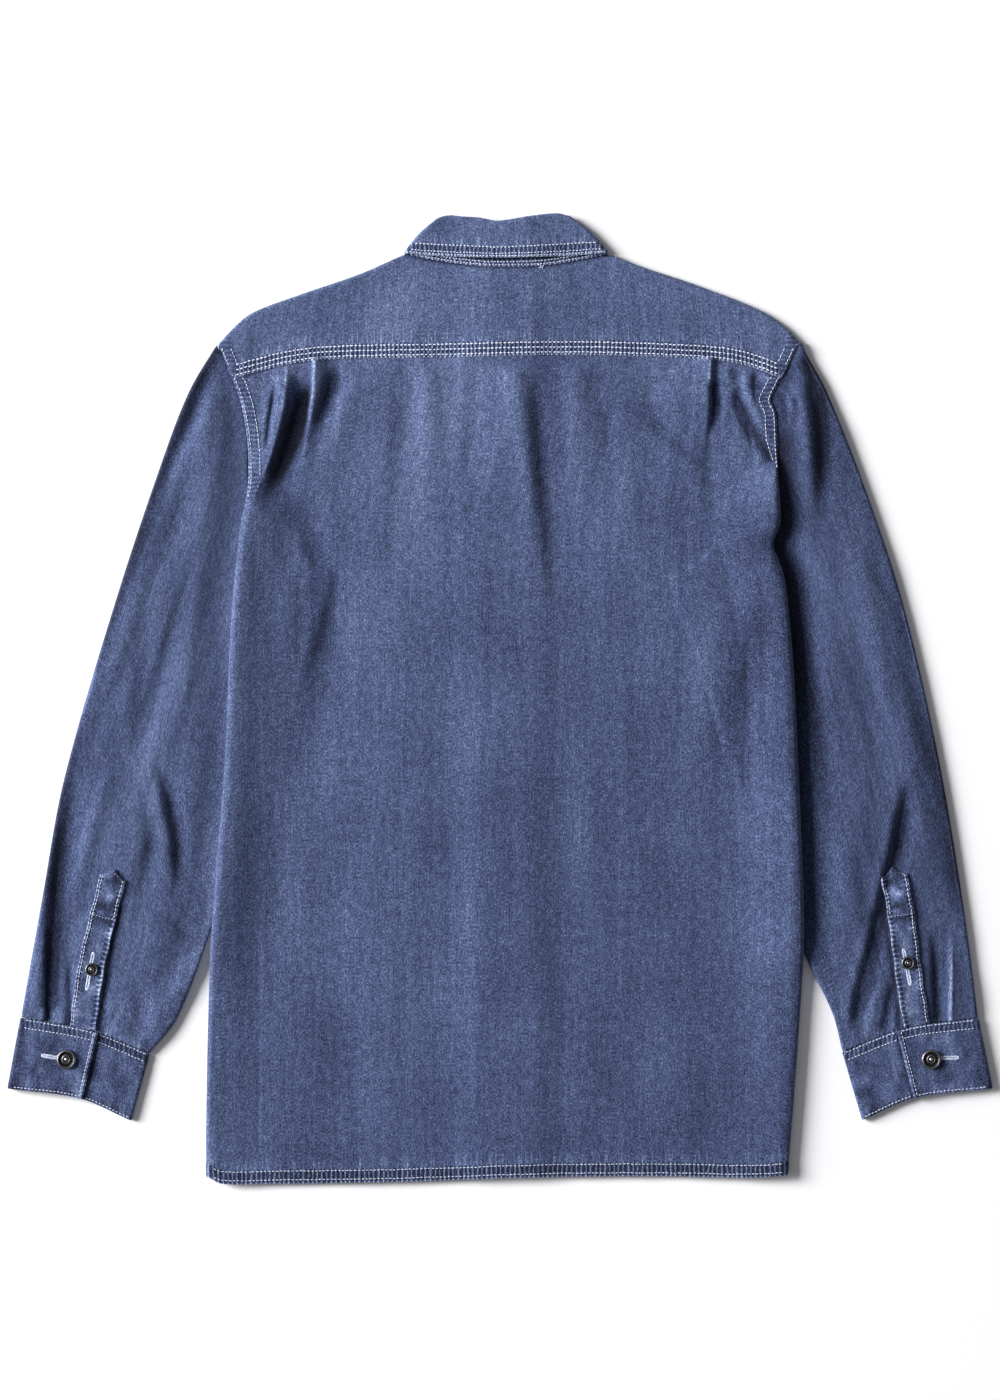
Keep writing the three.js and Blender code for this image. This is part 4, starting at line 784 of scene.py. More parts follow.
class Threads:
    """Sewing thread in one mesh: short rounded stitches on the cloth that dip at each end."""

    RING = [(-0.5, 0.3, -0.5), (-0.3, 1.0, 0.0), (0.3, 1.0, 0.0), (0.5, 0.3, -0.5)]

    def __init__(self, name, seed):
        self.name, self.chance = name, np.random.default_rng(seed)
        self.points, self.faces = [], []

    def lay(self, x, y, dx, dy, top, length, radius):
        """Stitches centred at x, y over a surface whose height is top(x, y), lying along dx, dy."""
        size = np.hypot(dx, dy)
        dx, dy = dx / size, dy / size
        e = 0.6
        z = top(x, y)
        slope_along = (top(x + e * dx, y + e * dy) - top(x - e * dx, y - e * dy)) / (2 * e)
        slope_aside = (top(x - e * dy, y + e * dx) - top(x + e * dy, y - e * dx)) / (2 * e)
        way = np.stack([dx, dy, slope_along], -1)
        way /= np.linalg.norm(way, axis=-1, keepdims=True)
        side = np.stack([-dy, dx, slope_aside], -1)
        up = np.cross(way, side)
        up /= np.linalg.norm(up, axis=-1, keepdims=True)
        side = np.cross(up, way)
        centre = np.stack([x, y, z], -1) + up * radius * 0.35
        corners = []
        for place, girth, sink in self.RING:
            middle = centre + way * (place * length)[:, None] + up * (sink * radius)
            for k in range(6):
                a = k * math.pi / 3
                turned = side * math.cos(a) + up * math.sin(a)
                corners.append(middle + radius * girth * turned)
        corners = np.stack(corners, 1)
        first = sum(len(p) for p in self.points) + np.arange(len(x)) * 24
        self.points.append(corners.reshape(-1, 3))
        for r in range(3):
            for k in range(6):
                a, b = r * 6 + k, r * 6 + (k + 1) % 6
                self.faces.append(first[:, None] + np.array([a, b, b + 6, a + 6]))
        for a in ([0, 5, 4, 3], [0, 3, 2, 1], [18, 19, 20, 21], [18, 21, 22, 23]):
            self.faces.append(first[:, None] + np.array(a))

    def row(self, line, top, pitch=3.3, share=0.8, radius=0.3):
        """One row of stitches along a line of points."""
        line = np.asarray(line, float)
        reach = lengths(line)
        count = max(2, int(reach[-1] / pitch))
        along = (np.arange(count) + 0.5) * reach[-1] / count
        along = along + self.chance.normal(0, 0.05 * pitch, count)
        x, y = np.interp(along, reach, line[:, 0]), np.interp(along, reach, line[:, 1])
        dx, dy = (
            np.interp(along + 0.5, reach, line[:, k]) - np.interp(along - 0.5, reach, line[:, k])
            for k in (0, 1)
        )
        turn = self.chance.normal(0, 0.07, count)
        dx, dy = dx - turn * dy, dy + turn * dx
        shift = self.chance.normal(0, 0.1, count)
        length = pitch * share * self.chance.uniform(0.88, 1.08, count)
        self.lay(x - shift * dy, y + shift * dx, dx, dy, top, length, radius)

    def piece(self, colour):
        faces = np.concatenate(self.faces).tolist()
        made = put_in(self.name, np.concatenate(self.points), faces, colour)
        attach(made, "root")
        return made


def cotton_thread():
    """Off-white cotton sewing thread, twisted and a little stained by the dye."""
    made, start = material("cotton_thread")
    place = start.node("TexCoord", out="Object")
    stain = place.node("TexNoise", sockets={"Vector": place, "Scale": 210.0, "Detail": 1.0})
    ply = place.node("TexNoise", sockets={"Vector": place, "Scale": 2600.0, "Detail": 0.0})
    stops = [(0.25, (0.26, 0.31, 0.47)), (0.5, (0.66, 0.73, 0.92)), (0.8, (0.86, 0.91, 1.0))]
    colour = start.node("ValToRGB", {"stops": stops}, {"Fac": 0.75 * stain + 0.3 * ply})
    bump = start.node("Bump", sockets={"Height": ply, "Distance": 0.0002})
    shader = start.node(
        "BsdfPrincipled",
        sockets={
            "Base Color": colour,
            "Roughness": 0.7 + 0.1 * ply,
            "Normal": bump,
            "Specular IOR Level": 0.3,
        },
    )
    start.node("OutputMaterial", sockets={"Surface": shader})
    return made


thread = cotton_thread()


def back_top(x, y):
    return body_level(x, y)[0] + CLOTH / 2 + 0.1


hem_thread = Threads("hem_thread", 1)
run = np.linspace(-243, 240, 260)
for rise in (3.0, 10.4):
    wave = 0.25 * unevenness(run, run * 0, 14, 10, 7)
    line = np.stack([run, hem_y(run) + rise + wave], 1)
    hem_thread.row(line, lambda x, y: back_top(x, y) + 0.55, radius=0.32)
hem_thread.piece(thread)

# ---------------------------------------------------------------------------
# Yoke: one piece of denim over the shoulders, felled over the back with three
# rows of stitching, and folded over each shoulder to meet the fronts.
# ---------------------------------------------------------------------------

LEFT_ARMHOLE = [
    (-241, 300.2),
    (-230.4, 278),
    (-220.8, 251),
    (-215.6, 217),
    (-214.8, 190),
    (-212.5, 172),
    (-205, 150),
    (-181, 122),
    (-151.4, 105),
]
RIGHT_ARMHOLE = [
    (256, 303),
    (248.4, 288),
    (241.4, 276),
    (236, 265),
    (231.9, 256),
    (232.8, 250),
    (235.6, 244),
    (236.6, 227),
    (236.6, 206),
    (235, 185),
    (226, 163),
    (213, 146),
    (185, 122),
    (153.4, 105),
]


def front_armhole(side, armhole, shares):
    """A front's edge at the armhole, a seam's width inside the sleeve's."""
    line = curve(armhole)
    way = line(np.minimum(1, shares + 0.01)) - line(np.maximum(0, shares - 0.01))
    way /= np.linalg.norm(way, axis=-1, keepdims=True)
    return line(shares) - side.sign * 1.3 * np.stack([-way[:, 1], way[:, 0]], axis=-1)


left_arm_point = front_armhole(left, LEFT_ARMHOLE, np.array([0.16]))[0]
right_arm_point = front_armhole(right, RIGHT_ARMHOLE, np.array([0.16]))[0]
LEFT_FRONT_SEAM = [(left_arm_point[0], left_arm_point[1] + 0.5), (-62, 334)]
RIGHT_FRONT_SEAM = [(77, 333), (right_arm_point[0], right_arm_point[1] + 0.5)]
YOKE_STITCHES = (2.4, 6.7, 10.9)  # above its lower edge
SHOULDER_RADIUS = 2.3


def yoke_border(y, sign):
    """x of the yoke's short side at the armhole."""
    if sign < 0:
        return mix(-227.4, -239.0, (y - 272.6) / 29.0)
    return mix(239.2, 253.6, (y - 273.4) / 30.6)


def yoke_piece():
    n, neck = 64, 92
    t = np.linspace(0, 1, n + 1)
    tn = np.linspace(0, 1, neck + 1)[1:]
    edge = np.concatenate(
        [curve(LEFT_SHOULDER)(t), curve(BACK_NECK)(tn), curve(RIGHT_SHOULDER)(t[1:])]
    )
    share = (edge[:, 0] - edge[0, 0]) / (edge[-1, 0] - edge[0, 0])
    seam_line = curve(YOKE_SEAM)(share)
    cols = len(edge)
    first, last = n, n + neck
    front = np.zeros((cols, 2))
    front[: first + 1] = curve(LEFT_FRONT_SEAM)(t)
    front[last:] = curve(RIGHT_FRONT_SEAM)(t)
    j = np.arange(cols)
    at_neck = (j >= first) & (j <= last)
    v = spread((0, 0.16, 14), (0.16, 0.9, 26), (0.9, 1, 6))[:, None, None]
    p = mix(seam_line[None], edge[None], v)
    p[..., 1] -= np.where(at_neck, 0, SHOULDER_RADIUS * smooth((v[..., 0] - 0.9) / 0.1))
    z, pale = body_level(p[..., 0], p[..., 1])
    to_neck = np.where(at_neck, neck_y(p[..., 0]) - p[..., 1], 99)
    # Painted shadow: a dark line on the yoke just under the collar stand's edge.
    pale = pale - 0.8 * smooth(1 - (to_neck - 0.6) / 1.6)
    off = p[..., 1] - yoke_seam_y(p[..., 0])
    band = smooth((12.6 - off) / 1.6)
    dip = sum(ridge(off, rise, 0.8) for rise in YOKE_STITCHES)
    puff = unevenness(p[..., 0], off, 4.6, 5, 21) * band * 0.22
    z = z + 0.55 * band + puff
    thick = CLOTH + band * (0.85 - 0.4 * dip)
    for side in (left, right):
        beside = (yoke_border(p[..., 1], side.sign) - p[..., 0]) * side.sign * 0.92
        arm = smooth((10.8 - beside) / 1.4)
        groove = sum(ridge(beside, rise, 1.0) for rise in ARMHOLE_STITCHES)
        thick = np.maximum(thick, CLOTH + (0.95 - 0.4 * groove) * arm)
    grid = [at_height(p, z)]
    thicks, dye_and_shade_rows = [thick], [pale]
    crest = grid[0][-1]
    low = front_level(edge[:, 0], edge[:, 1], 0)
    radius = (crest[:, 2] - low) / 2
    inner = (j == first) | (j == last)
    has_front = (j <= first) | (j >= last)
    start_y = np.where(inner, edge[:, 1] - radius, edge[:, 1] - SHOULDER_RADIUS)
    out = np.where(inner, radius, SHOULDER_RADIUS)
    turns, falls = 9, 14
    for r in range(turns + falls):
        if r < turns:
            a = (r + 1) * math.pi / turns
            row = np.stack(
                [edge[:, 0], start_y + out * math.sin(a), low + radius * (1 + math.cos(a))], -1
            )
        else:
            f = (r - turns + 1) / falls
            x, y = mix(edge[:, 0], front[:, 0], f), mix(start_y, front[:, 1], f)
            row = np.stack([x, y, front_level(x, y, 0)], -1)
        grid.append(np.where(has_front[:, None], row, crest)[None])
        thicks.append(np.full((1, cols), CLOTH))
        dye_and_shade_rows.append(np.full((1, cols), 0.12 if r < turns else 0.0))
    grid = np.concatenate(grid)
    over = len(v) - 1
    i, jj = np.mgrid[: len(grid) - 1, : cols - 1]
    keep = (i < over) | (jj < first) | (jj >= last)
    return grid, np.concatenate(thicks), np.concatenate(dye_and_shade_rows), keep


yoke_seams = Seams()
yoke_seams.band(lambda x, y: y - yoke_seam_y(x), lambda x, y: x * 1.1, YOKE_FELL)
for side in (left, right):
    yoke_seams.band(
        lambda x, y, s=side.sign: (yoke_border(y, s) - x) * s * 0.92,
        lambda x, y: y,
        ARMHOLE_BAND,
        0.45,
    )
grid, thick, pale, keep = yoke_piece()
seam = yoke_seams.at(grid[..., 0], grid[..., 1])
yoke = cloth("yoke_cloth", grid, thick, seam, pale, keep=keep, colour=denim("denim_yoke", 0.01, 23))
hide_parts("yoke")
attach(yoke, "root")


def yoke_top(x, y):
    return body_level(x, y)[0] + 0.55 + 0.6 + 0.28


yoke_thread = Threads("yoke_thread", 2)
run = np.linspace(-224, 236, 260)
for rise in YOKE_STITCHES:
    line = np.stack([run, yoke_seam_y(run) + rise], 1)
    yoke_thread.row(line, yoke_top, pitch=3.5, radius=0.56, share=0.88)
for side, low_outer, low_inner in ((left, 172, 190), (right, 197, 203)):
    for inset, low in ((1.9, low_outer), (9.4, low_inner)):
        y = np.linspace(low, 299, 90)
        inset = inset * side.band(y) / ARMHOLE_BAND
        x = np.where(y > 273, yoke_border(y, side.sign), side.edge(y)) - side.sign * inset
        yoke_thread.row(
            np.stack([x, y], 1), lambda x, y: body_level(x, y)[0] + 0.94, radius=0.33
        )
yoke_thread.piece(thread)

# ---------------------------------------------------------------------------
# Fronts: two panels of denim under the back, buttoned together at the middle.
# Only their form shows, from the sides and from below.
# ---------------------------------------------------------------------------

FRONT_OVERLAP = 17  # each front passes the line of buttons by this much

def front_piece(side, armhole, neck_point, over):
    s = side.sign
    inner = CENTRE_FRONT - s * FRONT_OVERLAP
    arm = front_armhole(side, armhole, np.linspace(0.16, 1, 24))
    y = np.linspace(arm[-1, 1] - 9, hem_y(side.edge(-405.0)) + 2, 62)
    outer = np.concatenate([arm, np.stack([side.under(y) - s * 1.3, y], -1)])
    neck = [(inner, 304), (CENTRE_FRONT + s * 20, 305.5), (CENTRE_FRONT + s * 50, 316)]
    neck.append((neck_point[0], neck_point[1] - 0.5))
    share = spread((0, 0.34, 14), (0.34, 1, 26))
    top = np.where(
        (share < 0.5)[:, None],
        curve(neck)(np.clip(2 * share, 0, 1)),
        curve([neck[-1], tuple(outer[0])])(np.clip(2 * share - 1, 0, 1)),
    )
    hem_x = mix(inner, outer[-1, 0], share)
    hem = np.stack([hem_x, mix(hem_y(hem_x) + 2, outer[-1, 1], share)], -1)
    reach = lengths(outer)
    t = (reach / reach[-1])[:, None, None]
    centre = np.stack(
        [np.full(len(outer), float(inner)), mix(304.0, hem[0, 1], reach / reach[-1])], -1
    )
    k = (np.arange(len(outer)) / (len(outer) - 1))[:, None, None]
    f = share[None, :, None]
    plane = mix(centre[:, None], outer[:, None], f) + mix(top[None], hem[None], k)
    plane -= mix(mix(top[0], top[-1], f), mix(hem[0], hem[-1], f), k)
    z = front_level(plane[..., 0], plane[..., 1], over)
    return at_height(plane, z)


for side, armhole, neck_point, over, name in (
    (left, LEFT_ARMHOLE, (-62, 334), 0, "left"),
    (right, RIGHT_ARMHOLE, (77, 333), 1, "right"),
):
    grid = front_piece(side, armhole, neck_point, over)
    front_seams = Seams()
    front_seams.band(lambda x, y: y - hem_y(x) - 2, lambda x, y: x, HEM_BAND)
    front_seams.band(
        lambda x, y, s=side.sign: (x - CENTRE_FRONT + s * FRONT_OVERLAP) * s,
        lambda x, y: y,
        5.0,
        0.5,
    )
    seam = front_seams.at(grid[..., 0], grid[..., 1])
    panel = cloth(
        f"front_{name}_cloth",
        grid,
        np.full(grid.shape[:2], CLOTH),
        seam,
        0.1 * unevenness(grid[..., 0], grid[..., 1], 60, 90, 31),
        colour=denim(f"denim_front_{name}", 0.0, 31 + over),
    )
    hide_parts(f"front_{name}")
    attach(panel, "root")

# ---------------------------------------------------------------------------
# Sleeves: each one piece of denim sewn into a tube, laid flat from the armhole
# to the cuff, with loose folds down its upper layer and pleats at the cuff.
# ---------------------------------------------------------------------------

LEFT_OUTER = [
    (-241, 300.2),
    (-262.7, 263.5),
    (-283, 212.5),
    (-325.6, 85),
    (-369.8, -68),
    (-388.5, -170),
    (-406.3, -269.5),
]
RIGHT_OUTER = [
    (256, 303),
    (260.4, 292.6),
    (276.3, 263.5),
    (306.9, 187),
    (340.9, 85),
    (372.3, -51),
    (394.4, -183.6),
    (405.5, -270.3),
]
LEFT_CUFF_SEAM = [(-406.3, -269.5), (-345, -281.5), (-298.4, -300)]
RIGHT_CUFF_SEAM = [(405.5, -270.3), (345, -278.5), (291.5, -298.4)]
LEFT_CUFF_END = [(-417.4, -330), (-358, -338), (-314, -357)]
RIGHT_CUFF_END = [(417.6, -330), (352, -338), (308.6, -356.5)]

# Columns as in BACK_FOLDS: darker tones are painted shade in the troughs, paler ones painted
# highlight along crests.
LEFT_SLEEVE_FOLDS = [
    (-238, 282, -250, 230, -268, 150, 2.6, 14, 15, 0.3, 0.6, 0.06),
    (-242, 288, -262, 236, -288, 168, -2.8, 7, 7, 0.15, 0.6, -0.35),
    (-236, 276, -236, 244, -240, 200, 1.4, 6, 6, 0.2, 0.6, 0.1),
    (-229, 268, -226, 240, -232, 190, -1.6, 4, 5, 0.2, 0.6, -0.25),
    (-270, 200, -300, 90, -322, -40, 1.6, 18, 24, 0.5, 0.5, 0.02),
    (-310, -20, -330, -100, -330, -190, 2, 24, 20, 0.5, 0.6, 0.02),
    (-356, -60, -374, -150, -382, -268, -4.2, 7, 13, 0.5, 0.04, -0.6),
    (-376, -130, -386, -205, -388, -272, 2.2, 9, 2.2, 0.7, 0.02, 0.06),
    (-386, -200, -387.4, -240, -387, -272, 0.4, 1.3, 1.2, 0.5, 0.02, 0.5),
    (-372, -200, -371, -236, -371, -276, 1.2, 5, 3, 0.5, 0.03, 0.05),
    (-366, -210, -364.6, -240, -364, -278, -1.5, 3, 3, 0.5, 0.03, -0.25),
    (-296, -40, -275, -116, -277, -176, -3.6, 5, 8, 0.4, 0.4, -0.6),
    (-298, 70, -305, 0, -306, -60, -1.6, 9, 12, 0.4, 0.5, -0.3),
    (-290, -60, -289, -95, -290, -130, 1.0, 8, 6, 0.4, 0.4, 0.3),
    (-384, -180, -386, -225, -385.4, -274, -1.4, 0.9, 3.5, 0.4, 0.02, -1.1),
    (-321.5, -172, -333.5, -228, -340.5, -284, 0, 1.0, 3.4, 0.03, 0.02, -0.9),
    (-312, -60, -296, -120, -316, -200, -1.6, 7, 10, 0.5, 0.6, -0.1),
    (-330, 60, -338, -10, -352, -80, -1.3, 8, 12, 0.5, 0.5, -0.08),
    (-246, 160, -262, 60, -286, -60, 1.2, 12, 14, 0.5, 0.6, 0.03),
    (-300, 150, -318, 60, -336, -20, 0.9, 9, 10, 0.5, 0.6, 0.02),
    (-262, 130, -284, 30, -300, -40, -1.1, 9, 10, 0.5, 0.6, -0.05),
    (-240, -190, -268, -160, -292, -150, 1.5, 6, 7, 0.3, 0.7, 0.06),
    (-254, -216, -276, -190, -300, -184, -1.5, 5, 6, 0.3, 0.7, -0.08),
    (-262, -240, -280, -252, -296, -290, 1.2, 8, 8, 0.4, 0.1, 0.03),
    (-312, -220, -306, -256, -306, -288, -1.3, 7, 8, 0.5, 0.05, -0.08),
    (-330, -252, -328, -268, -326, -284, 1.0, 6, 6, 0.4, 0.05, 0.05),
]
RIGHT_SLEEVE_FOLDS = [
    (246, 280, 258, 230, 262, 150, 3.4, 9, 8, 0.2, 0.6, 0.08),
    (256, 296, 273, 238, 268, 112, -4.6, 7, 10, 0.15, 0.4, -0.9),
    (262, 290, 280, 240, 281, 150, 1.8, 4, 12, 0.2, 0.6, 0.05),
    (236, 262, 240, 250, 243, 232, -2.2, 2.6, 3, 0.2, 0.3, -0.5),
    (241, 262, 246.5, 250, 243, 226, 1.6, 2.4, 3, 0.2, 0.4, 0.15),
    (249, 258, 252, 246, 248, 226, -1.6, 2.6, 3, 0.2, 0.4, -0.3),
    (243, 150, 246, 60, 254, -40, -1.8, 9, 10, 0.4, 0.6, -0.2),
    (290, 200, 310, 60, 340, -80, 1.8, 20, 24, 0.5, 0.5, 0.02),
    (350, -58, 335, -134, 298, -290, -4.4, 7, 10, 0.4, 0.1, -0.5),
    (342, -60, 326, -140, 290, -290, 1.3, 5, 5, 0.5, 0.1, 0.1),
    (312, -60, 300, -140, 286, -230, 1.8, 16, 14, 0.5, 0.6, 0),
    (300, 110, 312, 20, 330, -60, -1.2, 10, 12, 0.5, 0.6, -0.06),
    (268, 90, 280, 0, 292, -100, 1.2, 10, 12, 0.5, 0.6, 0.03),
    (334, 60, 348, -20, 362, -110, 1.2, 9, 12, 0.5, 0.6, 0.02),
    (385, -180, 383, -225, 383, -274, 2.0, 2.4, 9, 0.6, 0.02, 0.08),
    (384, -190, 383.2, -240, 382.4, -276, 0.7, 1.1, 1.2, 0.5, 0.02, 0.9),
    (368, -186, 370, -232, 372, -276, -2.6, 4, 4, 0.5, 0.06, -0.8),
    (327, -172, 335, -236, 339.5, -280, 0, 3.4, 1.0, 0.03, 0.02, -0.9),
    (262, 40, 274, -50, 282, -130, -1.5, 10, 12, 0.4, 0.5, -0.35),
    (334, -236, 331, -258, 326, -282, -2.0, 4, 4, 0.3, 0.05, -0.3),
    (322, -240, 316, -262, 312, -288, 1.0, 5, 4, 0.3, 0.05, 0.05),
    (306, -206, 312, -190, 330, -176, -1.2, 6, 6, 0.5, 0.6, -0.06),
    (290, -230, 300, -262, 300, -290, 1.2, 8, 8, 0.4, 0.1, 0.03),
]


sleeve_outer = {-1: upright_line(LEFT_OUTER), 1: upright_line(RIGHT_OUTER)}
# Middles of the upper layer: where the body lies on it, at the armhole, at the cuff, in the open.
TUCKED_SLEEVE, ARMHOLE_SLEEVE, SLEEVE_AT_CUFF, OPEN_SLEEVE = 2.6, 5.0, 5.4, 7.6
SLEEVE_LENGTH, SLEEVE_ROWS, SLEEVE_COLUMNS, OUTER_ROLL = 600, 186, 80, 2.2


def sleeve_level(side, table, x, y):
    """Middle height of a sleeve's upper layer, and its tone: the dye's paleness with painted shade
    and painted light.
    """
    x, y = np.asarray(x, float), np.asarray(y, float)
    rise, pale = folds(table, x, y)
    lean = x - side.sign * 0.28 * (150 - y)
    rise = rise + 1.0 * unevenness(lean, y, 22, 90, 8) + 0.5 * unevenness(lean, y, 11, 46, 9)
    rise = rise + 0.35 * smooth((-y - 225) / 40) * unevenness(lean, y, 6, 30, 10)
    near = mix(TUCKED_SLEEVE, ARMHOLE_SLEEVE, smooth((y - 188) / 20))
    high = mix(SLEEVE_AT_CUFF, OPEN_SLEEVE, smooth((y + 275) / 90)) + 1.3 * rise
    out = (x - side.edge(y)) * side.sign
    share = np.maximum(smooth((out - 2) / 34), smooth((-y - 200) / 30))
    fade = np.maximum(smooth((out - 1) / 16), smooth((-y - 200) / 30))
    # Painted shadow that the body casts on the right sleeve beside it.
    deep = mix(0.3, 1.0, smooth((y + 120) / 220)) * smooth((238 - y) / 25) * (side.sign > 0)
    by_body = smooth(1 - (out + 2) / 34)
    shaded = (0.3 * (side.sign > 0) + 0.9 * deep) * by_body * smooth((y + 230) / 60)
    # Painted shade along the sleeves' rolled outer edges.
    rim = (sleeve_outer[side.sign](y) - x) * side.sign
    high_up = smooth((y - 10) / 60) * (side.sign < 0)
    low_down = smooth((20 - y) / 90) * smooth((y + 200) / 50)
    edge = (0.1 + 0.9 * high_up + 0.8 * low_down) * smooth(1 - rim / mix(14, 17, low_down))
    droop = smooth(1 - rim / 36) * smooth((285 - y) / 30) * smooth((y + 262) / 50)
    mottle = 0.16 * unevenness(lean, y, 26, 70, 13)
    level = mix(near, high, share)
    droop = 3.6 * droop * (side.sign > 0) * smooth((level - TUCKED_SLEEVE) / 3.6)
    level = np.maximum(level - droop, TUCKED_SLEEVE)
    # Painted light on the left sleeve beside the body.
    lit = 0.22 * (side.sign < 0) * smooth(1 - out / 44) * smooth((170 - y) / 60)
    return level, np.maximum(1.25 * pale * fade - shaded - edge + mottle + lit - 0.03, -1.1)


def sleeve_piece(side, armhole, outer, inner, cuff_seam, table):
    rows = np.linspace(0, 1, SLEEVE_ROWS)
    t = (rows * (0.75 + 0.25 * rows) * (1 - GAP / SLEEVE_LENGTH))[:, None]
    sides = curve(outer)(t[:, 0])[:, None], curve(inner)(t[:, 0])[:, None]
    start, end = curve(armhole), curve(cuff_seam)

    def flat(s):
        s = np.broadcast_to(s, (len(t), s.shape[1]))
        at, tt = s[..., None], t[..., None]
        corners = mix(mix(start(0.0), start(1.0), at), mix(end(0.0), end(1.0), at), tt)
        return mix(sides[0], sides[1], at) + mix(start(s), end(s), tt) - corners

    width = np.linalg.norm(sides[0] - sides[1], axis=-1)
    radius_in = mix(1.0, 2.0, smooth((t - 0.8) / 0.12))
    angles = (np.arange(1, 9) * math.pi / 9)[None]

    def edge(s0, sense, radius, a):
        p = flat(s0 + sense * radius * (1 - np.sin(a)) / width)
        z, pale = sleeve_level(side, table, p[..., 0], p[..., 1])
        middle = FLOOR + radius
        high = np.maximum(z, FLOOR + 2 * radius) - middle
        z = middle + np.where(a < math.pi / 2, high, radius) * np.cos(a)
        return at_height(p, z), pale + 0.1 * np.sin(a)

    a, b = OUTER_ROLL / width, 1 - radius_in / width
    f = np.linspace(0, 1, SLEEVE_COLUMNS)
    across = mix(f, f * f, 0.3)[None]
    p = flat(mix(a, b, across))
    z, pale = sleeve_level(side, table, p[..., 0], p[..., 1])
    upper = at_height(p, z)
    shares = np.concatenate([[0.04], np.linspace(0.16, 0.96, 12)])[None, ::-1]
    p = flat(mix(a, b, shares))
    under = at_height(p, np.full(p.shape[:2], FLOOR))
    west, west_dye_and_shade = edge(0, 1, OUTER_ROLL + 0 * t, math.pi - angles)
    east, east_dye_and_shade = edge(1, -1, radius_in, angles)
    grid = np.concatenate([west, upper, east, under], axis=1)
    inward = grid[0, :, :2] - grid[1, :, :2]  # the first row reaches into the armhole seam
    grid[0, :, :2] += inward / np.linalg.norm(inward, axis=-1, keepdims=True)
    pale = np.concatenate([west_dye_and_shade, pale, east_dye_and_shade, np.zeros(under.shape[:2])], axis=1)
    return grid, pale


for side, armhole, outer, inner, cuff_seam, table, name in (
    (left, LEFT_ARMHOLE, LEFT_OUTER, LEFT_INNER, LEFT_CUFF_SEAM, LEFT_SLEEVE_FOLDS, "left"),
    (right, RIGHT_ARMHOLE, RIGHT_OUTER, RIGHT_INNER, RIGHT_CUFF_SEAM, RIGHT_SLEEVE_FOLDS, "right"),
):
    grid, pale = sleeve_piece(side, armhole, outer, inner, cuff_seam, table)
    line = curve(cuff_seam)(np.linspace(0, 1, 40))
    order = np.argsort(line[:, 0])
    cuff_y = spline(line[order, 0], line[order, 1])
    sleeve_seams = Seams()
    sleeve_seams.band(lambda x, y: (y - cuff_y(x)) + 6, lambda x, y: x, 7.0, 0.8)
    seam = sleeve_seams.at(grid[..., 0], grid[..., 1])
    sleeve = cloth(
        f"sleeve_{name}_cloth",
        grid,
        np.full(grid.shape[:2], CLOTH),
        seam,
        pale,
        looped=True,
        colour=denim(f"denim_sleeve_{name}", 0.0 if side is left else -0.03, 41 + side.sign),
    )
    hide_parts(f"sleeve_{name}")
    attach(sleeve, "root")

# ---------------------------------------------------------------------------
# Sleeve plackets: a pointed strip of denim on each sleeve above the cuff, sewn
# along one edge and round its point, with a buttonhole and a small button.
# ---------------------------------------------------------------------------

PLACKET_HALF, PLACKET_LENGTH = 11, 127
LEFT_PLACKET = [(-328.4, -151), (-334.2, -174), (-341, -200.6), (-347.6, -231), (-354.3, -279)]
RIGHT_PLACKET = [(334.5, -149.5), (339, -172.5), (343.4, -204), (348, -240), (354, -276.2)]


def placket_frame(rows):
    """Plan points of a strip from its line: t down it, f from -1 to 1 across it."""
    line = curve(rows)

    def at(t, f, point_out=0.0):
        here = line(t)
        way = line(np.minimum(1, t + 0.02)) - line(np.maximum(0, t - 0.02))
        way /= np.linalg.norm(way, axis=-1, keepdims=True)
        out = np.stack([-way[..., 1], way[..., 0]], -1)
        half = PLACKET_HALF * (1 - 0.25 * point_out)
        wave = 0.35 * np.sin(t * 31.0) * f
        p = here + out * (f * half + wave * (1 - point_out))[..., None]
        return p - way * (8 * point_out * (1 - np.abs(f)))[..., None]

    return at


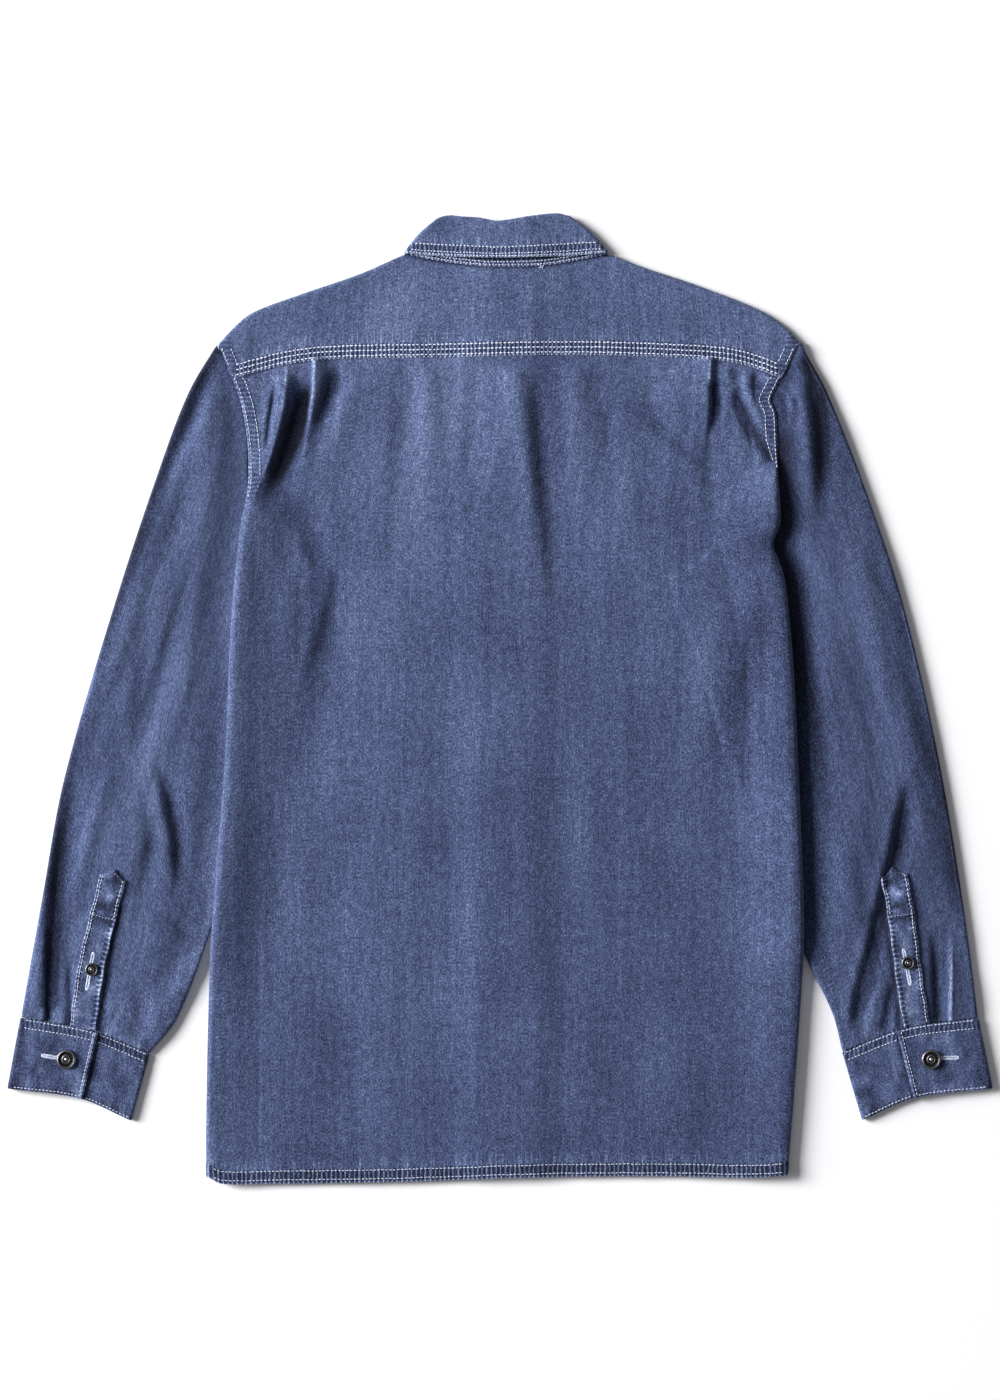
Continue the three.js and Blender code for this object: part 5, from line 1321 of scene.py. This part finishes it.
for side, rows, table, name in (
    (left, LEFT_PLACKET, LEFT_SLEEVE_FOLDS, "left"),
    (right, RIGHT_PLACKET, RIGHT_SLEEVE_FOLDS, "right"),
):
    at = placket_frame(rows)
    f = np.concatenate([[-1, -0.97], np.linspace(-0.92, 0.92, 15), [0.97, 1]])[None]
    point_out = np.concatenate([np.linspace(1, 0, 7, endpoint=False), np.zeros(84)])[:, None]
    t = np.concatenate([np.zeros(7), np.linspace(0, 1, 84)])[:, None]
    f, t, point_out = np.broadcast_arrays(f, t, point_out)
    p = at(t, f, point_out)
    x, y = p[..., 0], p[..., 1]
    level, pale = sleeve_level(side, table, x, y)
    down, out = t * PLACKET_LENGTH, f * PLACKET_HALF
    ripple = 0.3 * unevenness(down, out, 9, 12, 51) + 0.25 * unevenness(down, out, 5, 22, 52)
    z = level + FLOOR + 1.15 + ripple * smooth((1 - np.abs(f)) / 0.3)
    z = z + 0.25 * smooth((0.27 - t) / 0.02) * (1 - point_out)
    folded = -side.sign * f
    bead = ridge(folded, 0.93, 0.09) * smooth((t - 0.242) / 0.03)
    edge = ridge(np.abs(f), 0.8, 0.07) * (1 - bead)
    thick = 1.8 - 0.5 * edge + 0.9 * bead
    z = z + 0.45 * bead
    off = (1 - np.abs(f)) * PLACKET_HALF / 4.2
    seam = np.stack([off, down + 20 * (f > 0), np.full(t.shape, 0.75)], -1)
    wear_and_shade = 0.62 * unevenness(down, out, 7, 8, 53) - 0.1
    inside_box = smooth((0.25 - t) / 0.01) * (1 - smooth((np.abs(f) - 0.7) / 0.1))
    wear_and_shade = wear_and_shade - 0.4 * inside_box + 0.9 * inside_box * unevenness(down, out, 5, 6, 55)
    wear_and_shade = wear_and_shade + 1.35 * bead * (0.75 + 0.25 * unevenness(down, f, 5, 9, 56))
    wear_and_shade = wear_and_shade + 0.8 * smooth((np.abs(f) - 0.92) / 0.05) * (1 - bead)
    wear_and_shade = wear_and_shade - 0.5 * ridge(t, 0.275, 0.02) * (1 - bead)
    placket = cloth(
        f"placket_{name}_cloth",
        at_height(p, z),
        thick,
        seam,
        wear_and_shade,
        colour=denim(f"denim_placket_{name}", 0.02, 53 + side.sign),
    )
    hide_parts(f"placket_{name}")
    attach(placket, "root")

    def placket_top(x, y, side=side, table=table):
        return sleeve_level(side, table, x, y)[0] + FLOOR + 2.05

    placket_thread = Threads(f"placket_thread_{name}", 6 + side.sign)
    for f in (-0.8, 0.8):
        last = 0.99 if f * side.sign > 0 else 0.25  # only the outer edge is sewn all the way
        line = at(np.linspace(0, last, 120), np.full(120, f))
        placket_thread.row(line, placket_top, radius=0.33, pitch=2.9)
    line = at(np.full(41, 0.012), np.linspace(-0.82, 0.82, 41), np.full(41, 0.8))
    placket_thread.row(line, placket_top, radius=0.27, pitch=2.6)
    box = np.linspace(-0.84, 0.84, 30)
    for place in (0.25, 0.262):
        placket_thread.row(at(np.full(30, place), box), placket_top, radius=0.27, pitch=2.6)
    placket_thread.piece(thread)

# ---------------------------------------------------------------------------
# Cuffs: two layers of denim turned and edge-stitched, wrapped round the wrist
# and buttoned over themselves, so that the buttonhole end lies on top.
# ---------------------------------------------------------------------------

CUFF_CLOTH, CUFF_DEPTH = 2.0, 65
COVERED_COLUMNS, UNDER_COLUMNS, CUFF_TURN = 34, 20, 8  # of points round the cuff
FLAP_START = COVERED_COLUMNS + UNDER_COLUMNS + 2 * CUFF_TURN
FLAP_END, COVERED_END = 0.59, 0.36
COVERED_LEVEL, FLAP_LEVEL, FLAP_DIP = 4.1, 6.4, 0.8


def flap_level(share):
    """Middle height of the part on top, from its fold to its end."""
    return FLAP_LEVEL - FLAP_DIP * (1 - smooth(share / 0.4))


def cuff_ripple(side, x, y):
    return 0.28 * unevenness(x, y, 13, 17, 61 + side.sign)


def cuff_plan(cuff_seam, end):
    """Plan of a cuff: s from its outer to its inner edge, t from the seam to its end."""
    a, b = curve(cuff_seam), curve(end)

    def at(s, t):
        return mix(a(s), b(s), np.asarray(t)[..., None])

    return at


for side, cuff_seam, end, name in (
    (left, LEFT_CUFF_SEAM, LEFT_CUFF_END, "left"),
    (right, RIGHT_CUFF_SEAM, RIGHT_CUFF_END, "right"),
):
    flat = cuff_plan(cuff_seam, end)
    width = float(np.linalg.norm(flat(np.array(0.0), 0.5) - flat(np.array(1.0), 0.5)))
    lowest = CUFF_CLOTH / 2
    radius_out = (FLAP_LEVEL - FLAP_DIP - lowest) / 2
    radius_in = (COVERED_LEVEL - lowest) / 2
    a, b = radius_out / width, 1 - radius_in / width
    angles = np.arange(1, CUFF_TURN + 1) * math.pi / (CUFF_TURN + 1)
    f = np.linspace(0, 1, 40)
    s = np.concatenate(
        [
            mix(COVERED_END, b, np.linspace(0, 1, COVERED_COLUMNS)),
            1 - radius_in * (1 - np.sin(angles)) / width,
            mix(b, a, np.linspace(0, 1, UNDER_COLUMNS)),
            radius_out * (1 - np.sin(math.pi - angles)) / width,
            mix(a, FLAP_END, f),
        ]
    )
    z = np.concatenate(
        [
            np.full(COVERED_COLUMNS, COVERED_LEVEL),
            lowest + radius_in * (1 + np.cos(angles)),
            np.full(UNDER_COLUMNS, lowest),
            lowest + radius_out * (1 + np.cos(math.pi - angles)),
            flap_level(f),
        ]
    )
    t = spread((0.005, 0.18, 12), (0.18, 0.9, 24), (0.9, 1, 8))
    ss, tt = np.meshgrid(s, t)
    zz = np.broadcast_to(z, ss.shape).copy()
    j = np.broadcast_to(np.arange(len(s)), ss.shape)
    upper = smooth((zz - 3.4) / 0.6)
    p = flat(ss, tt)
    x, y = p[..., 0], p[..., 1]
    seam_near = np.exp(-tt * CUFF_DEPTH / 9) + np.exp(-(1 - tt) * CUFF_DEPTH / 7)
    ripple = cuff_ripple(side, x, y)
    ripple = ripple + 0.25 * seam_near * unevenness(x, y, 4.6, 12, 63)
    on_flap, covered_part = j >= FLAP_START, j < COVERED_COLUMNS
    lift_end = 0.5 * smooth((ss - FLAP_END + 0.06) / 0.06) * on_flap
    shown = np.where(covered_part, smooth((ss - FLAP_END) / 0.05), 1.0)
    zz = zz + ripple * upper * shown + lift_end
    down = tt * CUFF_DEPTH
    left_over = CUFF_DEPTH - down
    end_gap = np.where(on_flap, (FLAP_END - ss) * width, 99.0)
    rim = np.minimum(left_over, end_gap)
    from_edge = np.where(end_gap < left_over, end_gap - 1.4, left_over)
    rows_cut = ridge(down, 1.6, 0.9) + ridge(down, 8.6, 0.9) + ridge(from_edge, 2.0, 0.9)
    bead = ridge(end_gap, 1.3, 1.1)
    sewn = 0.25 - 0.5 * np.minimum(rows_cut, 1) * (1 - bead) + 0.7 * bead
    thick = CUFF_CLOTH + sewn * smooth((zz - 2) / 1.4)
    zz = zz + 0.4 * bead
    first_band = down / 9.6
    edge_band = rim / 4.6
    use_edge = edge_band < first_band
    seam = np.stack(
        [
            np.where(use_edge, edge_band, first_band),
            np.where(use_edge & (end_gap < left_over), y, x),
            np.where(use_edge, 0.4, 0.62),
        ],
        -1,
    )
    marks = 0.3 + 0.7 * smooth(1 - left_over / 16)
    wear_and_shade = 0.42 * unevenness(x, y, 8, 12, 65 + side.sign) - 0.12 + 0.8 * bead
    wear_and_shade = wear_and_shade + 0.62 * marks * unevenness(x, y, 4, 16, 66)
    beyond = (ss - FLAP_END) * width
    # Painted shadow on the covered part just past the flap's end.
    wear_and_shade = wear_and_shade - 0.8 * covered_part * smooth(1 - beyond / 4) * smooth(1 + beyond)
    cuff = cloth(
        f"cuff_{name}_cloth",
        at_height(p, zz),
        thick,
        seam,
        wear_and_shade,
        colour=denim(f"denim_cuff_{name}", -0.04, 67 + side.sign),
    )
    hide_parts(f"cuff_{name}")
    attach(cuff, "root")

    def cuff_top(level, side=side):
        """Height over x, y of a layer whose middle lies at that level of x."""
        return lambda x, y: level(x) + cuff_ripple(side, x, y) + 1.0

    cuff_thread = Threads(f"cuff_thread_{name}", 8 + side.sign)
    s = np.linspace(0.035, FLAP_END - 0.012, 60)
    order = np.argsort(flat(s, 0.5)[:, 0])
    rise = flap_level((s - a) / (FLAP_END - a))
    flap_top = cuff_top(spline(flat(s, 0.5)[order, 0], rise[order]))
    covered = np.linspace(FLAP_END + 0.012, 0.985, 60)
    covered_top = cuff_top(lambda x: COVERED_LEVEL + 0.13)
    for down in (1.6, 8.6, 62.9):
        level = np.full(60, down / CUFF_DEPTH)
        cuff_thread.row(flat(s, level), flap_top, radius=0.36, pitch=3.0)
        cuff_thread.row(flat(covered, level), covered_top, radius=0.36, pitch=3.0)
    line = flat(np.full(50, FLAP_END - 3.4 / width), np.linspace(0.03, 0.97, 50))
    cuff_thread.row(line, cuff_top(lambda x: FLAP_LEVEL + 0.43), radius=0.36, pitch=3.0)
    cuff_thread.piece(thread)

# ---------------------------------------------------------------------------
# Collar: the stand rises from the neck seam, and the two-layer leaf folds down
# over it, with a row of stitches inside its edge and a double row at the edge.
# ---------------------------------------------------------------------------

LEAF_CLOTH, LEAF_LEVEL = 1.6, 6.6
LEAF_DEPTH, STAND_DEPTH = 34, 36
LOW_COLUMNS, TURN_COLUMNS = 25, 10  # of points in each half's lower part and its fold
LEAF = dict(
    fold=[
        (-53, 408.6),
        (-48, 410.8),
        (-42, 411.6),
        (-33, 410.6),
        (-17, 409.4),
        (-2, 406.8),
        (24.7, 410.8),
        (49, 413.2),
        (59, 410.6),
    ],
    edge=[(-81, 379.4), (-59.5, 377.2), (-3.4, 375.4), (52.7, 376.8), (92.2, 379.6)],
    left_end=((3.6, 334), (-48, 274)),
    right_end=((8.4, 334), (62, 274)),
    bulge=1.6,
    fold_bow=-4,
    edge_bow=8,
    low_turn=0.3,
    top_turn=1.0,
)
STAND = dict(
    fold=[(-41, 407), (-2, 403.4), (24.7, 407.8), (55, 407)],
    edge=[(-77, 378.6), (-60, 374.2), (-17, 368.6), (11, 368), (40, 369.2), (74, 375), (90, 378.6)],
    left_end=((CENTRE_FRONT + 15, 320), (CENTRE_FRONT + FRONT_OVERLAP, 305)),
    right_end=((CENTRE_FRONT - 15, 320), (CENTRE_FRONT - FRONT_OVERLAP, 305)),
    bulge=0.0,
    fold_bow=6,
    edge_bow=-6,
    low_turn=0.0,
    top_turn=0.0,
)


def patch(start, end, near, far):
    """Plan between four curves: s along start and end, t along near and far."""

    def at(s, t):
        ss, tt = s[..., None], t[..., None]
        corners = mix(mix(start(0.0), start(1.0), ss), mix(end(0.0), end(1.0), ss), tt)
        return mix(near(t), far(t), ss) + mix(start(s), end(s), tt) - corners

    return at


def collar_plan(shape):
    """The top part of a collar piece, and the part that lies under it on each side."""
    fold, edge = curve(shape["fold"]), curve(shape["edge"])
    straight = lambda p, q: lambda t: mix(np.asarray(p), np.asarray(q), np.asarray(t)[..., None])
    creases = []
    for k, out in ((0, -1), (1, 1)):
        start, end = fold(float(k)), edge(float(k))
        creases.append(curve([start, (start + end) / 2 + [out * shape["bulge"], 1.2], end]))
    lows = []
    for k, out, end in ((0, -1, shape["left_end"]), (1, 1, shape["right_end"])):
        bows = []
        ends = (fold, end[0], shape["fold_bow"]), (edge, end[1], shape["edge_bow"])
        for line, last, bow in ends:
            first, last = line(float(k)), np.asarray(last, float)
            bows.append(curve([first, (first + last) / 2 + [out * bow, 0], last]))
        lows.append(patch(bows[0], bows[1], creases[k], straight(end[0], end[1])))
    return patch(fold, edge, *creases), lows, creases


def collar_piece(shape, rows, top_level, low_level, columns):
    top, lows, creases = collar_plan(shape)
    v = np.asarray(rows)[:, None]
    turned = 1 - smooth(v / 0.1)
    low_rise, top_drop = shape["low_turn"] * turned, shape["top_turn"] * turned
    zero, one = np.zeros(v.shape), np.ones(v.shape)
    width = np.linalg.norm(top(zero, v) - top(one, v), axis=-1)
    halves, insets = [], []
    for k, low in enumerate(lows):
        c = creases[k](v[:, 0])[:, None]
        base = low_level(c[..., 0], c[..., 1], k)
        radius = (top_level(c[..., 0], c[..., 1])[0] - base) / 2
        inset = radius / width
        low_inset = radius / np.linalg.norm(low(zero, v) - low(one, v), axis=-1)
        s = np.linspace(0, 1, LOW_COLUMNS + 1)[None, 1:][:, ::-1]
        p = low(mix(low_inset, 1.0, s), np.broadcast_to(v, (len(v), LOW_COLUMNS)))
        z = low_level(p[..., 0], p[..., 1], k) + low_rise * (1 - s)
        front = at_height(p, z)
        a = (np.arange(0, TURN_COLUMNS) * math.pi / TURN_COLUMNS)[None]
        reach = 1 - np.sin(a)
        vv = np.broadcast_to(v, (len(v), TURN_COLUMNS))
        p = np.where(
            (np.cos(a) > 0)[..., None],
            low(reach * low_inset, vv),
            top(np.abs(k - reach * inset), vv),
        )
        turn = np.where(np.cos(a) > 0, low_rise, top_drop)
        z = base + radius * (1 - np.cos(a)) + np.cos(a) * turn
        roll = at_height(p, z)
        halves.append(np.concatenate([front, roll], axis=1))
        insets.append(inset)
    s = mix(insets[0], 1 - insets[1], np.linspace(0, 1, columns)[None])
    p = top(s, np.broadcast_to(v, s.shape))
    level, pale = top_level(p[..., 0], p[..., 1])
    across = at_height(p, level - top_drop)
    grid = np.concatenate([halves[0], across, halves[1][:, ::-1]], axis=1)
    wear_and_shade = np.zeros(grid.shape[:2])
    before = LOW_COLUMNS + TURN_COLUMNS
    wear_and_shade[:, before : before + columns] = pale
    return grid, wear_and_shade


stand_rows = np.linspace(0, 1, 26)
grid, wear_and_shade = collar_piece(STAND, stand_rows, body_level, front_level, 120)
depth = np.broadcast_to((1 - stand_rows)[:, None] * STAND_DEPTH, grid.shape[:2])
seam = np.stack([depth / 9.0, grid[..., 0] + grid[..., 1] * 0.2, np.full(depth.shape, 0.9)], -1)
# The stand is a little darker all over, and much darker from 4.5 mm down, under the leaf's edge:
# that is painted shadow.
stand = cloth(
    "collar_stand_cloth",
    grid,
    np.full(grid.shape[:2], CLOTH),
    seam,
    wear_and_shade - 0.1 - 1.1 * smooth((depth - 4.5) / 0.9),
    colour=denim("denim_stand", 0.0, 71),
)
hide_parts("collar_stand")
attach(stand, "root")


def leaf_level(x, y):
    ripple = 0.3 * unevenness(x, y, 17, 16, 73)
    ripple = ripple + 0.16 * unevenness(x, y, 5, 13, 74) * smooth((394 - y) / 8)
    return LEAF_LEVEL + STRIP_RISE * strip_lift(x) + ripple, 0.08 * unevenness(x, y, 26, 18, 75)


leaf_rows = spread((0, 0.12, 10), (0.12, 0.62, 14), (0.62, 1, 18))
grid, wear_and_shade = collar_piece(LEAF, leaf_rows, leaf_level, lambda x, y, k: LEAF_CLOTH / 2 + 0 * x, 150)
depth = np.broadcast_to((1 - leaf_rows)[:, None] * LEAF_DEPTH, grid.shape[:2])
dips = ridge(depth, 8.6, 0.9) + ridge(depth, 2.4, 0.9)
bead = ridge(depth, 0, 1.5)
sewn = 0.3 * smooth((10 - depth) / 2) - 0.35 * np.minimum(dips, 1) + 0.5 * bead
thick = LEAF_CLOTH + sewn * smooth((grid[..., 2] - 2) / 3)
seam = np.stack([depth / 8.8, grid[..., 0] * 1.05, np.full(depth.shape, 0.85)], -1)
# Paler along the leaf's top fold: worn fold and painted highlight.
at_fold = smooth(1 - np.broadcast_to(leaf_rows[:, None], depth.shape) / 0.05)
wear_and_shade = wear_and_shade + 0.22 * at_fold + 0.6 * bead
leaf = cloth("collar_leaf_cloth", grid, thick, seam, wear_and_shade, colour=denim("denim_leaf", 0.035, 77))
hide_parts("collar_leaf")
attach(leaf, "root")

collar_thread = Threads("collar_thread", 12)
leaf_top_plan = collar_plan(LEAF)[0]
s = np.linspace(0.018, 0.982, 160)
for down, pitch, radius in ((8.6, 3.1, 0.5), (3.5, 2.7, 0.42), (1.5, 2.7, 0.42)):
    line = leaf_top_plan(s, np.full(160, 1 - down / LEAF_DEPTH))
    collar_thread.row(line, lambda x, y: leaf_level(x, y)[0] + 0.95, pitch=pitch, radius=radius)
stand_plan = collar_plan(STAND)[0]
s = np.linspace(0.04, 0.96, 140)
for down in (1.5, 3.8):
    line = stand_plan(s, np.full(140, 1 - down / STAND_DEPTH))
    collar_thread.row(line, lambda x, y: body_level(x, y)[0] + 0.72, pitch=2.7, radius=0.38)
knot = np.array([(33.0, 369.6), (34.6, 368.4), (35.8, 367.2), (34.0, 367.0), (36.8, 368.8)])
collar_thread.lay(
    knot[:, 0],
    knot[:, 1],
    np.array([1.0, 0.4, -0.5, 1.0, 0.6]),
    np.array([0.5, -1.0, 1.0, 0.1, 1.0]),
    lambda x, y: body_level(x, y)[0] + 0.95,
    np.full(5, 2.6),
    0.34,
)
collar_thread.piece(thread)

# ---------------------------------------------------------------------------
# Buttons: tack buttons of dark burnished metal, a raised rim, a ring of small
# dents and a bright worn rivet in the middle. Those of the front are hidden.
# ---------------------------------------------------------------------------


def burnished(name):
    made, start = material(name)
    place = start.node("TexCoord", out="Object")
    rubbed = start.node("Attribute", {"attribute_name": "rubbed"}, out="Fac")
    grime = place.node("TexNoise", sockets={"Vector": place, "Scale": 900.0, "Detail": 3.0})
    fine = place.node("TexNoise", sockets={"Vector": place, "Scale": 4200.0, "Detail": 1.0})
    bright = rubbed + 0.5 * (grime - 0.5) + 0.2 * (fine - 0.5)
    stops = [(0.0, (0.015, 0.015, 0.017)), (0.45, (0.11, 0.11, 0.118)), (1.0, (0.60, 0.60, 0.62))]
    colour = start.node("ValToRGB", {"stops": stops}, {"Fac": bright})
    bump = start.node("Bump", sockets={"Height": fine + grime, "Distance": 0.0001})
    shader = start.node(
        "BsdfPrincipled",
        sockets={
            "Base Color": colour,
            "Metallic": 0.95,
            "Roughness": 0.5 - 0.22 * bright,
            "Normal": bump,
        },
    )
    start.node("OutputMaterial", sockets={"Surface": shader})
    return made


metal = burnished("burnished_metal")
# r and h as shares of the radius and height, and how far the metal is rubbed bright.
TACK = [
    (0.0, 0.0, 0.2),
    (0.86, 0.0, 0.2),
    (0.97, 0.14, 0.25),
    (1.0, 0.36, 0.35),
    (0.985, 0.6, 0.5),
    (0.94, 0.84, 0.5),
    (0.88, 0.97, 0.6),
    (0.82, 1.0, 0.5),
    (0.77, 0.93, 0.4),
    (0.73, 0.74, 0.12),
    (0.66, 0.62, 0.05),
    (0.54, 0.62, 0.1),
    (0.46, 0.68, 0.22),
    (0.42, 0.78, 0.45),
    (0.37, 0.84, 0.55),
    (0.32, 0.8, 0.3),
    (0.28, 0.66, 0.08),
    (0.22, 0.64, 0.1),
    (0.19, 0.76, 0.5),
    (0.14, 0.92, 0.95),
    (0.07, 0.99, 1.0),
    (0.0, 1.0, 1.0),
]


def tack_button(name, radius, height, node):
    """A button turned from TACK, in the box of its node, with dents round its ring."""
    low, high = (np.array(c) * 1000 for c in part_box(node))
    x, y, base = (low[0] + high[0]) / 2, (low[1] + high[1]) / 2, low[2]
    sides = 56
    turn = np.arange(sides) * 2 * math.pi / sides
    points, rub = [], []
    for r, h, worn in TACK[1:-1]:
        dent = 0.1 * (0.5 < r < 0.7) * (0.5 + 0.5 * np.sign(np.sin(turn * 14)))
        out = r * radius
        z = base + (h - dent) * height
        points.append(np.stack([x + out * np.cos(turn), y + out * np.sin(turn), z], -1))
        rub += [worn - 0.3 * float(d > 0.05) for d in dent]
    points = np.concatenate(points + [[[x, y, base], [x, y, base + height]]])
    rub += [TACK[0][2], TACK[-1][2]]
    rings, k = len(TACK) - 2, np.arange(sides)
    n = (k + 1) % sides
    faces = []
    for r in range(rings - 1):
        a, b = r * sides, (r + 1) * sides
        faces += np.stack([a + k, a + n, b + n, b + k], -1).tolist()
    bottom, top = rings * sides, rings * sides + 1
    faces += [[bottom, int(n[q]), int(q)] for q in k]
    last = (rings - 1) * sides
    faces += [[last + int(q), last + int(n[q]), top] for q in k]
    made = put_in(name, points, faces, metal)
    layer = made.data.attributes.new("rubbed", "FLOAT", "POINT")
    layer.data.foreach_set("value", np.array(rub))
    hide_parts(node)
    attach(made, "root")
    return x, y, base


holes = Threads("buttonholes", 20)


def buttonhole(ax, ay, bx, by, height, seed):
    """A slit bound with close stitches across it, and a bar at each end."""
    chance = np.random.default_rng(seed)
    length = math.hypot(bx - ax, by - ay)
    ux, uy = (bx - ax) / length, (by - ay) / length
    count = int(length / 0.5)
    t = (np.arange(count) + 0.5) / count
    for hand in (-1, 1):
        off = 0.95 * hand + chance.normal(0, 0.08, count)
        x, y = mix(ax, bx, t) - uy * off, mix(ay, by, t) + ux * off
        lean = chance.normal(0, 0.18, count)
        size = chance.uniform(1.5, 2.0, count)
        holes.lay(x, y, -uy + lean * ux, ux + lean * uy, height, size, 0.26)
    for cx, cy, away in ((ax, ay, -1), (bx, by, 1)):
        k = np.arange(4)
        x, y = cx + ux * away * (0.2 + 0.4 * k), cy + uy * away * (0.2 + 0.4 * k)
        holes.lay(x, y, np.full(4, -uy), np.full(4, ux), height, np.full(4, 2.8), 0.28)


for side, name, hole in (
    (left, "left", ((-387.6, -301.8), (-364, -305.6))),
    (right, "right", ((388, -303.6), (364, -304))),
):
    tack_button(f"cuff_tack_{name}", 8.4, 2.9, f"cuff_button_{name}")
    top = lambda x, y, side=side: (
        FLAP_LEVEL
        - FLAP_DIP * (1 - smooth((np.abs(x) - 412) / -28))
        + cuff_ripple(side, x, y)
        + 1.15
    )
    buttonhole(*hole[0], *hole[1], top, 30 + side.sign)
for side, table, name, hole in (
    (left, LEFT_SLEEVE_FOLDS, "left", ((-345.2, -215.6), (-350.4, -244.6))),
    (right, RIGHT_SLEEVE_FOLDS, "right", ((342.6, -212.4), (348, -240.4))),
):
    tack_button(f"placket_tack_{name}", 5.6, 2.4, f"placket_button_{name}")
    top = lambda x, y, side=side, table=table: (
        sleeve_level(side, table, x, y)[0] + FLOOR + 0.35 + 1.6 + 0.12
    )
    buttonhole(*hole[0], *hole[1], top, 34 + side.sign)
holes.piece(thread)

hidden_metal = burnished("hidden_button_metal")
for node in [f"front_button_{n}" for n in range(1, 8)] + ["collar_button"]:
    disc = next(o for o in bpy.data.objects if o.name == node)
    disc.material_slots[0].material = hidden_metal


# ---------------------------------------------------------------------------
# What the shirt is laid on, seen from straight above: a plain white table under
# two large soft lights from the left, with a weaker light all round.
# ---------------------------------------------------------------------------

white, start = material("table_white")
place = start.node("TexCoord", out="Object")
mist = place.node("TexNoise", sockets={"Vector": place, "Scale": 3.0})
shader = start.node(
    "BsdfPrincipled",
    sockets={
        "Base Color": (0.965, 0.965, 0.972, 1.0),
        "Roughness": 0.85 + 0.1 * mist,
        "Specular IOR Level": 0.1,
    },
)
start.node("OutputMaterial", sockets={"Surface": shader})
mesh = bpy.data.meshes.new("table_top")
mesh.from_pydata([(-4, -4, 0), (4, -4, 0), (4, 4, 0), (-4, 4, 0)], [], [(0, 1, 2, 3)])
mesh.materials.append(white)
table_top = bpy.data.objects.new("table_top", mesh)
table_top.location.z = -0.0004
bpy.context.scene.collection.objects.link(table_top)

world = bpy.data.worlds.new("room")
world.use_nodes = True
world.node_tree.nodes["Background"].inputs["Color"].default_value = (0.94, 0.94, 1.0, 1.0)
world.node_tree.nodes["Background"].inputs["Strength"].default_value = 0.2
bpy.context.scene.world = world


def lamp(name, place, size, watts, colour):
    light = bpy.data.lights.new(name, "AREA")
    light.shape, light.size, light.size_y = "RECTANGLE", size, size
    light.energy, light.color = watts, colour
    made = bpy.data.objects.new(name, light)
    made.location = place
    made.rotation_euler = made.location.to_track_quat("Z", "Y").to_euler()
    bpy.context.scene.collection.objects.link(made)


lamp("window", (-8.8, 2.7, 5.0), 4.4, 1780.0, (0.99, 0.99, 0.99))
lamp("low_window", (-9.7, 1.6, 2.8), 6.0, 960.0, (0.99, 0.99, 1.0))

bpy.context.scene.view_settings.view_transform = "Standard"
CAMERA_HEIGHT, SHOWN_HEIGHT, SENSOR = 5.0, 1.19, 36  # metres, and millimetres of the sensor
lens = bpy.data.cameras.new("photo_camera")
lens.sensor_width = SENSOR
lens.lens = SENSOR * CAMERA_HEIGHT / SHOWN_HEIGHT
camera = bpy.data.objects.new("photo_camera", lens)
camera.location = (0, 0, CAMERA_HEIGHT)
bpy.context.scene.collection.objects.link(camera)
bpy.context.scene.camera = camera
